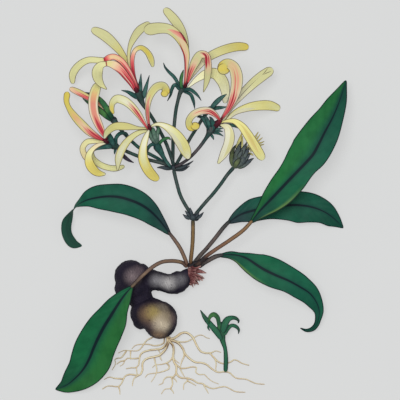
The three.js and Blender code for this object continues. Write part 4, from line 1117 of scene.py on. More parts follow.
ROOTS = (
    Root("right_upper", (
        ((165, 334), (171.1, 339), (176.5, 337.1), (180.8, 333.9), (186.1, 333.1), (191.5, 336.4),
         (194.1, 340.3), (196.8, 346.2), (201.1, 352.1), (206.5, 353.7), (209.6, 353.8), (213.5, 357.7),
         (217.3, 361.5), (222, 364), (228.1, 363.5), (231.2, 362.3), (234.2, 360.4), (238.1, 361.5),
         (241.9, 363.8), (249.6, 366)),
        ((169, 338), (175.9, 341.4), (180.8, 342.5), (187.2, 341.9), (192.5, 339.2), (197.9, 336),
         (202.2, 335.7), (206.5, 338.2), (210, 339)),
        ((208.8, 353.8), (211.9, 353.1), (215.8, 351.5), (221.2, 353.1)),
        ((213.5, 357.2), (215, 359.8), (216.2, 364.6), (215.8, 369.2), (216.5, 372.3)),
    )),
    Root("right_lower", (
        ((166, 334), (171, 340.4), (175.9, 342.3), (179.7, 345.1), (182.9, 349.4), (185, 354.4),
         (189.4, 359), (195.4, 362.8), (201.4, 363.4), (206.5, 365), (211, 368.8), (217.3, 372.7),
         (225, 372.4), (229.6, 373.4), (236, 378.6), (246.4, 380), (255.8, 384), (265, 385)),
        ((184.8, 355.3), (181.6, 362.3), (180.2, 368)),
        ((183.4, 351), (183.8, 357.4), (181.4, 361.8)),
    )),
    Root("middle", (
        ((166, 334), (169.6, 341.9), (172.7, 345.6), (173.6, 351.6), (173, 357), (173.8, 362.3),
         (176.4, 367.6), (176.2, 374), (180.8, 378.3), (187.2, 378.9), (192.5, 380.5), (197.9, 383.7),
         (202.2, 384.2), (206.5, 386.9), (212.4, 389.2), (225, 387.4), (235.6, 392.2), (245.6, 393)),
        ((173, 356), (171.1, 360.1), (166.8, 363.3), (161.5, 364.9), (155.1, 365.7), (151.9, 368.4)),
        ((166.4, 363.5), (169, 366.6), (168.5, 369.4), (164.7, 371.4), (159.3, 373), (152.9, 374),
         (147.6, 375.1), (144.9, 378.3)),
        ((173.8, 362.3), (177.6, 366.5), (180.8, 368.7), (186.1, 368.7), (191.5, 367.6), (196.2, 368.2),
         (195.8, 372.6), (199, 375.1), (204.3, 375.3), (207.5, 378.3), (211.8, 381.8), (219, 384.8)),
        ((176.2, 373.6), (173.3, 377.3), (166.8, 377.8), (163.6, 380.5), (162.6, 383.7), (158.3, 385.8)),
        ((171.3, 377.6), (172.2, 381.5), (172.2, 385.8), (170.1, 389), (164.7, 390.1), (161, 395)),
        ((170.1, 389), (172, 391), (173.8, 394.4)),
        ((172.4, 378.3), (174.6, 379.6), (177, 383.1)),
        ((180, 369), (181.2, 371.8), (184.5, 377.6)),
        ((187.4, 379.2), (187, 381.8), (184, 384.7), (183.4, 390.6)),
        ((187.2, 381.3), (191.5, 383.7), (196.3, 386.4)),
        ((203.4, 385), (205.4, 388.6), (208.6, 394.4)),
        ((173.6, 359), (175.4, 361.2), (179.4, 364)),
    )),
    Root("left_lower", (
        ((165, 334), (167.9, 341.9), (166.8, 347.3), (163.6, 352.1), (159.3, 355.8), (154, 357.4),
         (148.6, 358.5), (144.4, 360.7), (142.2, 364.4), (142.2, 370.8), (140.1, 375.1), (135.8, 375.8),
         (129.4, 375.1), (125.1, 376.7), (122.4, 381.5), (120.8, 384.7), (117.6, 387.2), (111.2, 386.7),
         (106.9, 386.9), (101.6, 390)),
        ((118, 387), (119.2, 390), (119.7, 395.6)),
        ((123, 379.6), (114.4, 378.9), (109, 377.8), (103.6, 380.2)),
        ((139.4, 375.4), (133.7, 379.4), (132, 386.9)),
        ((154, 357.2), (155.1, 363.3), (156.7, 370.8), (155.1, 376.2), (150.8, 383)),
        ((159.6, 355.4), (160.4, 359), (162, 361.4)),
    )),
    Root("left_upper", (
        ((165, 334), (167.4, 340.6), (164.9, 346), (161.5, 348.9), (156.1, 349.9), (149.7, 350.7),
         (144.4, 352.1), (141.1, 354.2), (139.5, 357.4), (139, 361.2), (138.3, 365.5), (135.6, 368.1),
         (130.4, 368.5), (125.4, 369.4)),
        ((157, 335), (150.8, 338.5), (146.5, 340.8), (143.3, 345.1), (140.1, 349.4), (136.9, 351.3),
         (130.4, 351.3), (124, 351), (117.6, 353.7)),
        ((126.4, 351), (122.9, 356), (120.8, 358.2), (116.5, 359), (114.7, 360.4), (115.2, 364.4),
         (111.6, 371)),
        ((164.4, 338), (163.4, 343.4), (155, 346.2), (148.6, 344.9), (140, 344.9), (134.7, 346.2),
         (131.3, 349.6)),
        ((130.4, 351.3), (130.2, 356), (130.4, 360.3)),
        ((139, 358.6), (133.7, 359.2), (127.2, 359), (124.6, 361.2), (122.9, 364.6), (119.5, 367)),
        ((124.6, 361.2), (119.7, 362.3), (116.3, 365.1)),
        ((136, 367.6), (136.4, 371), (137, 375.4)),
        ((158.3, 349.6), (158.9, 351.4), (160, 353.6)),
    )),
)
ROOT_SKIN = SkinFinish(
    "root_skin", fade((226, 206, 168), 0.3, (250, 240, 202), 1, (240, 226, 188)),
    (232, 200, 156), second_share=0.4, second_grain=160, side=(110, 74, 52), side_from=0.6,
    side_share=0.6, shadow=0.85, roughness=0.75,
)


PETIOLE_BROWN = SkinFinish(
    "petiole_brown", fade((76, 48, 52), 0.15, (132, 106, 88), 0.75, (126, 104, 92), 1, (52, 54, 58)),
    second=(160, 134, 100), second_share=0.45, side=(50, 28, 36), side_from=0.4, side_share=0.95,
)
PETIOLE_DARK = SkinFinish(
    "petiole_dark",
    fade((36, 38, 42), 0.2, (52, 57, 61), 0.35, (62, 60, 64), 0.6, (100, 90, 88), 1, (44, 58, 58)),
    second=(124, 108, 98), second_share=0.45, side=(28, 24, 32), side_from=0.4,
)
PETIOLE_TAN = SkinFinish(
    "petiole_tan", fade((36, 40, 42), 0.2, (48, 44, 46), 0.35, (134, 100, 80), 1, (150, 120, 84)),
    second=(118, 86, 70), second_share=0.4, side=(52, 28, 32), side_from=0.4, side_share=0.95,
)


@dataclass(frozen=True)
class Leaf:
    """One leaf: its petiole, and its blade along the midrib."""

    side: str
    petiole: Points
    blade: Points
    skin: SkinFinish
    finish: LeafFinish
    turns: Sequence[float] | None = None
    form: BladeForm = BladeForm(
        half_thick=0.35 * MM, cup=0.16, furrow=0.3 * MM, rib=0.9 * MM, rib_half=0.9 * MM,
        ripple=0.7 * MM, ripples=6.0, pucker=0.22 * MM, veins=13.0, around=56, steps=190,
    )

    def build(self) -> None:
        """Models the leaf."""
        piece = Piece(f"{self.side}_leaf", Slot.LEAF, f"leaf_{self.side}")
        piece.draw(self.petiole, RoundForm(around=18, steps=56))
        piece.draw(self.blade, self.form, coat=1, turns=self.turns)
        piece.finish(self.skin.make(), self.finish.make(f"{self.side}_leaf_skin"))


SLATE_BASE = fade(
    (44, 48, 56), 0.14, (38, 56, 62), 0.34, (28, 86, 70), 0.6, (28, 92, 70), 1, (22, 72, 58)
)
BRIGHT_SIDE = fade((30, 72, 58), 0.15, (26, 96, 62), 0.7, (26, 104, 64), 1, (26, 76, 54))
LEAVES = (
    Leaf(
        "upper_left",
        petiole=((187.3, 265, 20, 2), (184.5, 257.5, 22, 2), (180, 248, 24, 2), (175, 240.5, 25.5, 1.9),
        (168, 231.5, 26.5, 1.6)),
        blade=((170.5, 235, 26, 1.6), (160, 220.5, 29, 9.5, 5), (150, 210.5, 32, 13.2, 9),
        (140, 204, 34, 15, 12), (130, 200, 35, 15.6, 13.4), (120, 197.2, 34.5, 16, 13.4),
        (110, 196.3, 33, 15, 12.4), (98, 197.5, 30, 12), (86, 200.5, 26, 7, 9), (76.5, 206, 21, 6),
        (70.5, 214, 16.5, 5.6), (66.3, 224.5, 11.6, 5, 5.4), (67.3, 235, 7.4, 5.4, 5),
        (73, 243.3, 4, 5.2, 4.4), (81.5, 246.2, 1, 1.2)),
        turns=(0, 0, 0, 0, 0, 0, 0, 4, 25, 72, 118, 160, 172, 176, 178),
        skin=PETIOLE_BROWN,
        finish=LeafFinish(tones=SLATE_BASE, left=(26, 102, 74), left_share=0.3),
    ),
    Leaf(
        "upper_right",
        petiole=((193, 266.2, 14, 2.1), (197, 265, 18, 2.1), (205, 257.3, 20.5, 2.1), (215, 250, 23, 2),
        (230, 240, 26.5, 2), (243, 230.5, 29, 2), (252.5, 220.5, 30.5, 1.7)),
        blade=((250.5, 223, 30, 1.6), (260, 210.5, 33, 4.5, 8.6), (270, 200, 36, 9.6, 13.8),
        (280, 189.5, 39, 13.2, 16.6), (292, 177, 42, 16, 16.2), (304, 165, 43.5, 21.6, 13.4),
        (313, 155, 43.5, 24.6, 14.4), (318.5, 145, 42, 23.6, 15.2), (325, 132, 39, 20.6, 14.6),
        (333, 117, 34, 16.4, 10.8), (340, 100, 27, 11, 7), (346.3, 80.2, 19, 1)),
        skin=PETIOLE_TAN,
        finish=LeafFinish(left=(46, 124, 56), left_share=0.55, light_share=0.6),
    ),
    Leaf(
        "middle_right", petiole=((193.5, 264, 12, 2.2), (199, 257, 11.7, 2.2), (206, 249.3, 11.5, 2.1),
        (215, 238.5, 11.5, 2.1), (224, 227, 11.2, 2.1), (230.5, 220.5, 11, 1.8)),
        blade=((228, 223, 11.2, 2), (240, 215, 11, 7, 8), (252, 211, 11, 12, 11),
        (268, 208, 10.5, 13, 11.5), (285, 205.5, 9.8, 14, 15), (298, 205, 9, 14, 18),
        (312, 207, 8, 13.6, 16), (325, 212, 6.8, 11, 12.4), (335, 219, 4.4, 6.2, 9.4),
        (343.7, 228.2, 0.9, 0.8)),
        skin=PETIOLE_DARK,
        finish=LeafFinish(tones=SLATE_BASE, left=(26, 96, 76), left_share=0.3),
    ),
    Leaf(
        "lower_right", petiole=((198, 267.5, 11, 2.4), (204, 263, 12.3, 2.4), (210, 259.5, 13.3, 2.4),
        (216, 256.5, 14, 2.3), (224, 254.8, 14.6, 1.8)),
        blade=((218.5, 255, 14.2, 0.6, 2.4), (230, 254.6, 16, 3.3, 4.6), (240, 255.6, 18, 3.2, 9),
        (248.6, 259.2, 20, 6.8, 11.8), (256, 264.4, 21.4, 12.2, 12.8), (263, 269, 22.4, 15, 13.4),
        (275, 275, 23.2, 16, 13.4), (289, 281, 22.5, 14, 12), (300, 287, 20.5, 12.4, 12),
        (310, 293.5, 17.5, 9.4, 11.4), (317, 303, 14, 6.2, 9), (319.6, 312, 11, 4.4, 5.6),
        (318.8, 319, 9.4, 3.3, 3.6), (316.8, 325.2, 7.4, 2.7), (312.6, 329.4, 5, 2.5),
        (306.6, 330.8, 3, 1.9), (300.6, 328.5, 0.9, 0.5)),
        turns=(0, 0, 0, 0, 0, 0, 0, 0, 0, 0, 0, 6, 14, 22, 26, 20, 0),
        skin=PETIOLE_DARK,
        finish=LeafFinish(left=(26, 104, 74), left_share=0.4, light_share=0.7),
    ),
    Leaf(
        "lower_left",
        petiole=((187.3, 267.5, 14.5, 2), (183, 263.2, 17.5, 2), (177, 261.4, 23, 2), (170, 261, 28, 2),
        (162, 262, 32.5, 2), (154, 266, 36, 2), (146, 272.5, 38.5, 2), (138, 280, 39.2, 2),
        (131, 287.5, 38.5, 1.7)),
        blade=((133, 285.5, 38.6, 1.4), (124.5, 295, 37.2, 8.2, 6.4), (117.5, 305, 35, 12.6, 11),
        (110.5, 316, 32, 18.4, 13.8), (104, 326.5, 28, 20.6, 16.6), (98.5, 337, 24, 21.2, 18.2),
        (93.5, 348, 20, 21.8, 19.2), (89, 359, 16, 22.4, 18.6), (83, 369.5, 12.4, 19.8, 16),
        (75, 378.5, 9, 14.8, 13), (65.5, 386, 4.6, 8.2, 7.6), (54.8, 390, 0.9, 0.8)),
        skin=PETIOLE_BROWN,
        finish=LeafFinish(tones=BRIGHT_SIDE, left=(44, 106, 46), left_share=0.65),
    ),
)

# The flowering stem


SCAPE_SKIN = SkinFinish(
    "scape_skin", fade((96, 70, 52), 0.3, (136, 108, 72), 0.85, (118, 98, 66), 1, (60, 66, 52)),
    second=(160, 128, 86), second_share=0.45, side=(56, 38, 32), side_from=0.3,
)
PEDUNCLE_SKIN = SkinFinish(
    "peduncle_skin", fade((46, 66, 66), 0.5, (54, 84, 78), 1, (48, 72, 70)),
    second=(88, 96, 94), second_share=0.6, second_grain=90, side=(20, 34, 38), side_from=0.35,
)
GREEN_SEPALS = SkinFinish(
    "green_sepals", fade((32, 66, 60), 0.3, (48, 116, 70), 0.75, (42, 92, 62), 1, (28, 46, 50)),
    second=(94, 150, 78), second_share=0.55, side=(14, 34, 36), outline=0.85,
)
TUBE_SKIN = SkinFinish(
    "calyx_tubes", fade((70, 100, 92), 0.5, (112, 142, 126), 1, (60, 110, 80)),
    second=(40, 66, 62), second_share=0.45, second_grain=300, side=(28, 46, 46), fibres=7,
)
CALYX_SKIN = SkinFinish(
    "calyx_skin", fade((38, 74, 74), 0.5, (40, 92, 84), 0.8, (42, 72, 72), 1, (46, 42, 58)),
    second=(84, 128, 122), second_share=0.6, side=(18, 32, 40), side_from=0.45, outline=0.7,
)
THROAT_SKIN = SkinFinish(
    "maroon_throat", fade((52, 30, 44), 0.5, (78, 26, 40), 1, (120, 28, 48)),
    second=(70, 18, 34), second_share=0.4, second_grain=400, side=(40, 14, 28),
)
VIOLET_SKIN = SkinFinish(
    "violet_stalk_skin", fade((66, 60, 66), 0.5, (74, 74, 78), 0.68, (52, 78, 76), 1, (32, 76, 70)),
    second=(116, 106, 110), second_grain=90, side=(34, 28, 38), side_from=0.3,
)
PLUM_SKIN = SkinFinish(
    "plum_sepals", fade((40, 56, 62), 0.5, (54, 46, 66), 1, (44, 32, 50)),
    second=(70, 66, 84), side=(24, 18, 32), outline=0.6,
)


class Coat(IntEnum):
    """The number of each skin that a calyx may wear."""

    STALK = 0
    SEPAL = 1
    GREEN = 2
    TUBE = 3
    THROAT = 4
    VIOLET = 5
    PLUM = 6


CALYX_SKINS = {
    Coat.STALK: PEDUNCLE_SKIN, Coat.SEPAL: CALYX_SKIN, Coat.GREEN: GREEN_SEPALS,
    Coat.TUBE: TUBE_SKIN, Coat.THROAT: THROAT_SKIN, Coat.VIOLET: VIOLET_SKIN, Coat.PLUM: PLUM_SKIN,
}


@dataclass(frozen=True)
class FloweringStem:
    """The scape, and the two peduncles that it forks into."""

    scape: Points = ((190.5, 264, 17, 2), (191.2, 257, 19, 2), (192.5, 245, 22, 2), (193, 232, 24.5, 2),
        (193, 219.5, 25.6, 2))
    left: Points = ((192, 215.5, 26.3, 1.8), (186, 206, 26.6, 1.8), (180.5, 195.5, 26, 1.8),
        (176.3, 181, 25.6, 1.8), (173.6, 169.5, 25.6, 1.9))
    right: Points = ((194.5, 215.5, 25, 1.8), (205, 203, 24, 1.8), (213, 194, 22.5, 1.8),
        (220.5, 184.5, 21, 1.8), (228, 174, 19.5, 1.8), (234.3, 167, 18.8, 2.1))

    def build(self, skin: Material) -> None:
        """Models the three stalks.

        Args:
            skin: The peduncles' skin.
        """
        form = RoundForm(ridges=5, ridge=0.03)
        stalks = (
            ("flowering_scape", "scape", self.scape, SCAPE_SKIN.make()),
            ("left_peduncle", "peduncle_left", self.left, skin),
            ("right_peduncle", "peduncle_right", self.right, skin),
        )
        for name, node, points, coat in stalks:
            piece = Piece(name, Slot.STEM, node)
            piece.draw(points, form)
            piece.finish(coat)


BRACT_FORM = BladeForm(half_thick=0.35 * MM, cup=0.3, furrow=0.25 * MM, rib=0.5 * MM, pleat=0.1 * MM)
SEPAL_FORM = replace(BRACT_FORM, steps=44)


@dataclass(frozen=True)
class Whorl:
    """A knob with a whorl of bracts."""

    name: str
    node: str
    knob: Knob
    bracts: Sequence[Points]

    def build(self, skin: Material) -> None:
        """Models the whorl.

        Args:
            skin: The bracts' material.
        """
        piece = Piece(self.name, Slot.CALYX, self.node)
        piece.lump(self.knob, fineness=20)
        piece.draw_each(self.bracts, BRACT_FORM)
        piece.finish(skin)


WHORLS = (
    Whorl(
        "lower_bracts", "lower_bract_whorl",
        knob=Knob((193, 217.3, 26), (3.9, 3.7, 3.9)),
        bracts=(
            ((191, 218.6, 27.4, 1.4), (187, 217.4, 28.6, 1.9), (182.7, 214.2, 28, 0.3)),
            ((191, 217, 28, 1.3), (187.8, 213.8, 29.4, 1.6), (185, 210.6, 29, 0.3)),
            ((192.6, 217, 28.4, 1.5), (191, 212.4, 30, 1.9), (190, 207.4, 30, 0.3)),
            ((194.6, 218.4, 27, 1.5), (199.4, 216.6, 28, 1.8), (203.8, 212, 27.6, 0.3)),
            ((194.6, 218, 28, 1.2), (197.4, 214.8, 29, 1.4), (199.2, 212.6, 29, 0.3)),
            ((193, 218.5, 24, 1.5), (196.6, 219.2, 22, 1.8), (200, 217.4, 20.5, 0.3)),
        ),
    ),
    Whorl(
        "upper_bracts", "upper_bract_whorl",
        knob=Knob((173.2, 167.4, 25.4), (2.8, 3.2, 4.4)),
        bracts=(
            ((172, 168.5, 27, 1.6), (166.5, 168.2, 29, 2.1), (161.5, 167.4, 29, 1.5),
             (156.8, 167.6, 28, 0.3)),
            ((175, 168.5, 26, 1.5), (182.5, 167, 26, 1.9), (188.5, 164, 25.4, 1.2),
             (193.6, 160.6, 25, 0.3)),
            ((175, 170, 23, 1.4), (183, 169.4, 22, 1.6), (190, 165.8, 21, 0.3)),
        ),
    ),
)
BRACT_SKIN = SkinFinish(
    "bract_skin", fade((48, 64, 64), 0.5, (60, 72, 80), 1, (42, 42, 54)),
    second=(84, 96, 100), side=(24, 26, 38), side_from=0.4, outline=0.8,
)

# The flowers


FOOT_HALF = 1.0
PLAIN = fade(YELLOW, 0.35, PALE)
ROLLED = fade(YELLOW, 0.4, DEEP_GOLD, 1, GOLD)
PETAL_FORM = BladeForm(
    half_thick=0.28 * MM, cup=0.12, furrow=0.25 * MM, rib=0.1 * MM, rib_half=0.7 * MM,
    ripple=0.1 * MM, ripples=3.0, pleat=0.07 * MM, pleats=7.0, around=32, steps=96,
)


@dataclass(frozen=True)
class Petal:
    """One petal: its route from the cup's heart to its tip, and its colours."""

    letter: str
    route: Points
    tones: Stops
    rim: Stops | None = None
    streaks: Sequence[Streak] = ()
    crease_shade: float | None = None
    # How much paler the petal is painted, as painted light against the shade on it.
    lift: float = 1.0
    rim_from: float = 0.35
    roll: Knob | None = None
    form: BladeForm = PETAL_FORM

    def build(self, name: str, node: str, heart: Point) -> None:
        """Models the petal.

        Args:
            name: The object's name.
            node: The frame's node that it stands for.
            heart: The layout point of the cup's heart.
        """
        foot = (*((a + b) / 2 for a, b in zip(heart, self.route[0])), FOOT_HALF)
        piece = Piece(name, Slot.PETAL, node)
        piece.draw((foot, *self.route), self.form)
        finish = PetalFinish(
            f"{node}_skin", self.tones, self.rim, self.rim_from, self.streaks, self.crease_shade,
            lift=self.lift,
        )
        coats = [finish.make()]
        if self.roll:
            piece.lump(self.roll, fineness=28, coat=1)
            coats.append(PetalFinish(f"{node}_roll_skin", ROLLED).make())
        piece.finish(*coats)


@dataclass(frozen=True)
class Calyx:
    """A stalk that swells into a cup, with its sepals in three tones, its tubes and its throat."""

    stalk: Points
    sepals: Sequence[Points] = ()
    green: Sequence[Points] = ()
    tubes: Sequence[Points] = ()
    plum: Sequence[Points] = ()
    throat: Points = ()
    stalk_coat: Coat = Coat.STALK

    def build(self, name: str, node: str, skins: Sequence[Material]) -> None:
        """Models the calyx.

        Args:
            name: The object's name.
            node: The frame's node that it stands for.
            skins: The skins that CALYX_SKINS gives, in its order.
        """
        piece = Piece(name, Slot.CALYX, node)
        stout = RoundForm(uneven=0.04, ridges=5, steps=96)
        piece.draw(self.stalk, stout, self.stalk_coat)
        piece.draw_each(self.sepals, SEPAL_FORM, Coat.SEPAL)
        piece.draw_each(self.green, SEPAL_FORM, Coat.GREEN)
        piece.draw_each(self.plum, SEPAL_FORM, Coat.PLUM)
        piece.draw_each(self.tubes, replace(stout, steps=40), Coat.TUBE)
        if self.throat:
            piece.draw(self.throat, replace(stout, steps=30), Coat.THROAT)
        piece.finish(*skins)


@dataclass(frozen=True)
class Flower:
    """One open flower: its calyx and its petals."""

    number: int
    heart: Point
    calyx: Calyx
    petals: Sequence[Petal]

    def build(self, skins: Sequence[Material]) -> None:
        """Models the calyx, then each petal.

        Args:
            skins: The calyx's skins.
        """
        self.calyx.build(f"flower_{self.number}_calyx", f"calyx_{self.number}", skins)
        for petal in self.petals:
            name = f"flower_{self.number}_petal_{petal.letter}"
            petal.build(name, f"petal_{self.number}{petal.letter}", self.heart)


CALYX_1 = Calyx(
    ((174, 165.4, 29, 1.8), (170.9, 156, 30.8, 1.8), (166, 143, 32, 1.8), (160, 131, 33, 1.8),
     (154, 120.5, 34, 1.8), (147.5, 110.5, 35, 1.8), (143.5, 105, 35.6, 2.1), (140.5, 98.5, 36.6, 3.6),
     (138, 92.8, 37.6, 4.2), (136.9, 90.2, 38, 3.8)),
    sepals=(
        ((138.5, 98.6, 38.4, 2), (133, 95, 40.6, 2.4), (127.6, 92, 41, 1.5), (121.2, 90.4, 40, 0.3)),
        ((139.6, 97.5, 37.5, 2), (140, 89, 37, 2.5), (140.6, 81, 36.6, 1.5), (141.1, 73.6, 37, 0.3)),
        ((143, 99, 37.5, 2.2), (145.2, 90.5, 38.4, 2.3), (147.4, 82.6, 38.6, 1.3),
         (149.5, 75.2, 38, 0.3)),
        ((141, 99, 33, 1.8), (140.6, 92, 30, 2), (141, 85, 29, 0.3)),
    ),
    throat=((138.4, 94, 38.4, 1.6), (136.6, 90.6, 40, 2.2), (135.2, 87.4, 42, 1.4)),
)
PETALS_1 = (
    Petal("a", ((136.2, 88.5, 36, 1.2), (132.5, 76, 31, 1.4), (128, 64, 26, 2), (122.5, 54.5, 20, 3.2),
        (114.5, 44.5, 12.6, 4.6), (104, 35, 6, 5.2), (91, 28.2, 0.8, 3.6)),
        fade(GOLD, 0.3, YELLOW, 0.55, YELLOW, 0.7, PALE)),
    Petal("b", ((137.8, 87.8, 36.4, 1.2), (131.5, 72, 34, 1.4), (128.8, 60, 32.5, 1.7),
        (129.4, 49, 30, 2.1), (133, 39.5, 26, 3.4), (139.5, 30, 20, 4.2), (150, 22.4, 13.5, 3)),
        fade(YELLOW, 0.35, PALE)),
    Petal("c", ((138.4, 87.6, 37.6, 1.1), (135.2, 79.5, 39.8, 1.5), (133, 70, 43, 1.95),
        (132.6, 58, 47, 2.3), (135.5, 50.5, 49, 2.3), (141, 48, 48, 2.6), (147, 52, 44.5, 3),
        (151, 59, 40, 3.2), (153, 67.2, 35, 1.5)),
        fade(CRIMSON, 0.24, RED, 0.38, ROSE, 0.48, PINK, 0.55, PEACH, 0.62, GOLD, 0.8, DEEP_GOLD, 1,
            PALE), lift=1.04,
        rim=fade(CRIMSON, 0.28, ROSE, 0.42, PINK, 0.53, PEACH, 0.62, YELLOW, 1, PALE),
        streaks=(
            Streak(((0, 0), (0.2, 0.1), (0.42, 0.15)), 0.6, RED, 0.8),
        ),
    ),
    Petal("d", ((137.2, 88.5, 40.6, 1.3), (135.4, 82.8, 43.5, 1.8), (132.6, 77, 46, 2),
        (129.6, 71.8, 47.2, 2.4), (126.4, 67.2, 48, 2.8), (122.6, 62.2, 48.4, 3), (118, 58.6, 49, 3.1),
        (113, 57, 49, 3.1), (108.6, 58.2, 48.6, 3.1), (105.2, 60.4, 47.2, 2.8), (101.5, 60.6, 44.5, 3.1),
        (88, 60.3, 35, 3.4), (78.5, 65.6, 26, 3.8), (72.6, 74, 17, 3.8), (72.4, 83.6, 9, 2)),
        fade(CRIMSON, 0.1, RED, 0.19, ROSE, 0.27, PINK, 0.34, BUFF, 0.41, BUFF, 0.445, ROSE, 0.47, RED,
            0.485, PALE), lift=1.09,
        rim=fade(CRIMSON, 0.14, ROSE, 0.26, PINK, 0.42, PINK, 0.45, ROSE, 0.475, RED, 0.485, PALE),
        crease_shade=0.472,
        streaks=(
            Streak(((0, 0.4), (0.16, 0.3), (0.4, 0.45)), 0.4, ROSE, 0.95),
            # Painted highlight: a pale cream streak.
            Streak(((0.02, -0.2), (0.16, -0.3), (0.34, -0.25)), 0.2, CREAM, 0.85),
            Streak(((0.02, 0.9), (0.2, 0.9), (0.47, 0.9)), 0.2, CRIMSON, 0.95),
        ),
    ),
    Petal("e", ((135.6, 91.2, 40.2, 1.3), (131.5, 83.6, 44, 2.8), (126.2, 76.4, 48, 3.6),
        (121, 70.2, 50.6, 4.1), (115, 65.6, 52.6, 4.4), (109.6, 64, 53.8, 3.4), (105.2, 64.4, 54.2, 2.7),
        (101, 66, 53, 4.2), (97.9, 71, 50, 5.5), (97.9, 78, 44, 4.9), (101.2, 84.3, 39, 3.2),
        (107, 89.6, 35.6, 0.5)),
        fade(CRIMSON, 0.08, RED, 0.22, ROSE, 0.34, PINK, 0.44, PEACH, 0.52, YELLOW, 0.545, PALE),
        rim=fade(CRIMSON, 0.14, ROSE, 0.34, PINK, 0.46, PEACH, 0.54, PALE), lift=1.09,
        crease_shade=0.54,
        streaks=(
            Streak(((0, 0.75), (0.2, 0.7), (0.46, 0.8)), 0.3, RED),
            # Painted highlight: a pale cream streak.
            Streak(((0.02, 0.3), (0.2, 0.35), (0.4, 0.4)), 0.14, CREAM, 0.85),
            Streak(((0, 0), (0.2, 0), (0.4, -0.05)), 0.2, RED, 0.95),
            Streak(((0.1, -0.45), (0.26, -0.45), (0.44, -0.3)), 0.16, ROSE),
            Streak(((0, -0.95), (0.26, -0.9), (0.54, -0.92)), 0.2, CRIMSON, 0.95),
        ),
    ),
)
CALYX_2 = Calyx(
    ((172.8, 165, 25, 1.8), (173, 152, 24.4, 1.8), (173.2, 138, 24.5, 1.8), (174.4, 124, 25, 1.8),
     (176, 110, 26, 1.8), (178.3, 99.5, 27, 1.8), (180.4, 92.5, 28, 2.3), (182.6, 88.6, 29.4, 3.2),
     (184, 86.4, 30.4, 2.9)),
    sepals=(
        ((180.5, 88.5, 27.4, 1.6), (174.5, 77.5, 27, 1.8), (168.6, 71.6, 28, 1.5), (165, 67, 29, 1),
         (163.4, 62.6, 30, 0.3)),
        ((180, 90, 29.6, 1.6), (174.8, 84.8, 33, 1.8), (172, 89, 33.4, 1.8), (170.5, 95, 32, 1.2),
         (167.3, 101.2, 30, 0.3)),
        ((183, 90, 30, 1.6), (189.5, 89.4, 33.6, 1.9), (194.5, 92.5, 34, 1.7), (198.5, 96.5, 32.6, 1),
         (201.3, 100.8, 31, 0.3)),
        ((183, 91, 28.6, 1.5), (190.5, 94.4, 28, 1.8), (193.4, 101, 27, 1.6), (194.8, 109, 26, 0.3)),
    ),
    green=(((182, 89, 32.4, 1.5), (181, 81, 34.4, 1.9), (182, 75, 34.4, 1.6), (183.6, 69.6, 34.4, 0.3)),),
    throat=((184.4, 88, 31.4, 1.4), (185.8, 84.6, 33.6, 1.9), (186.6, 81.6, 35.4, 1.2)),
)
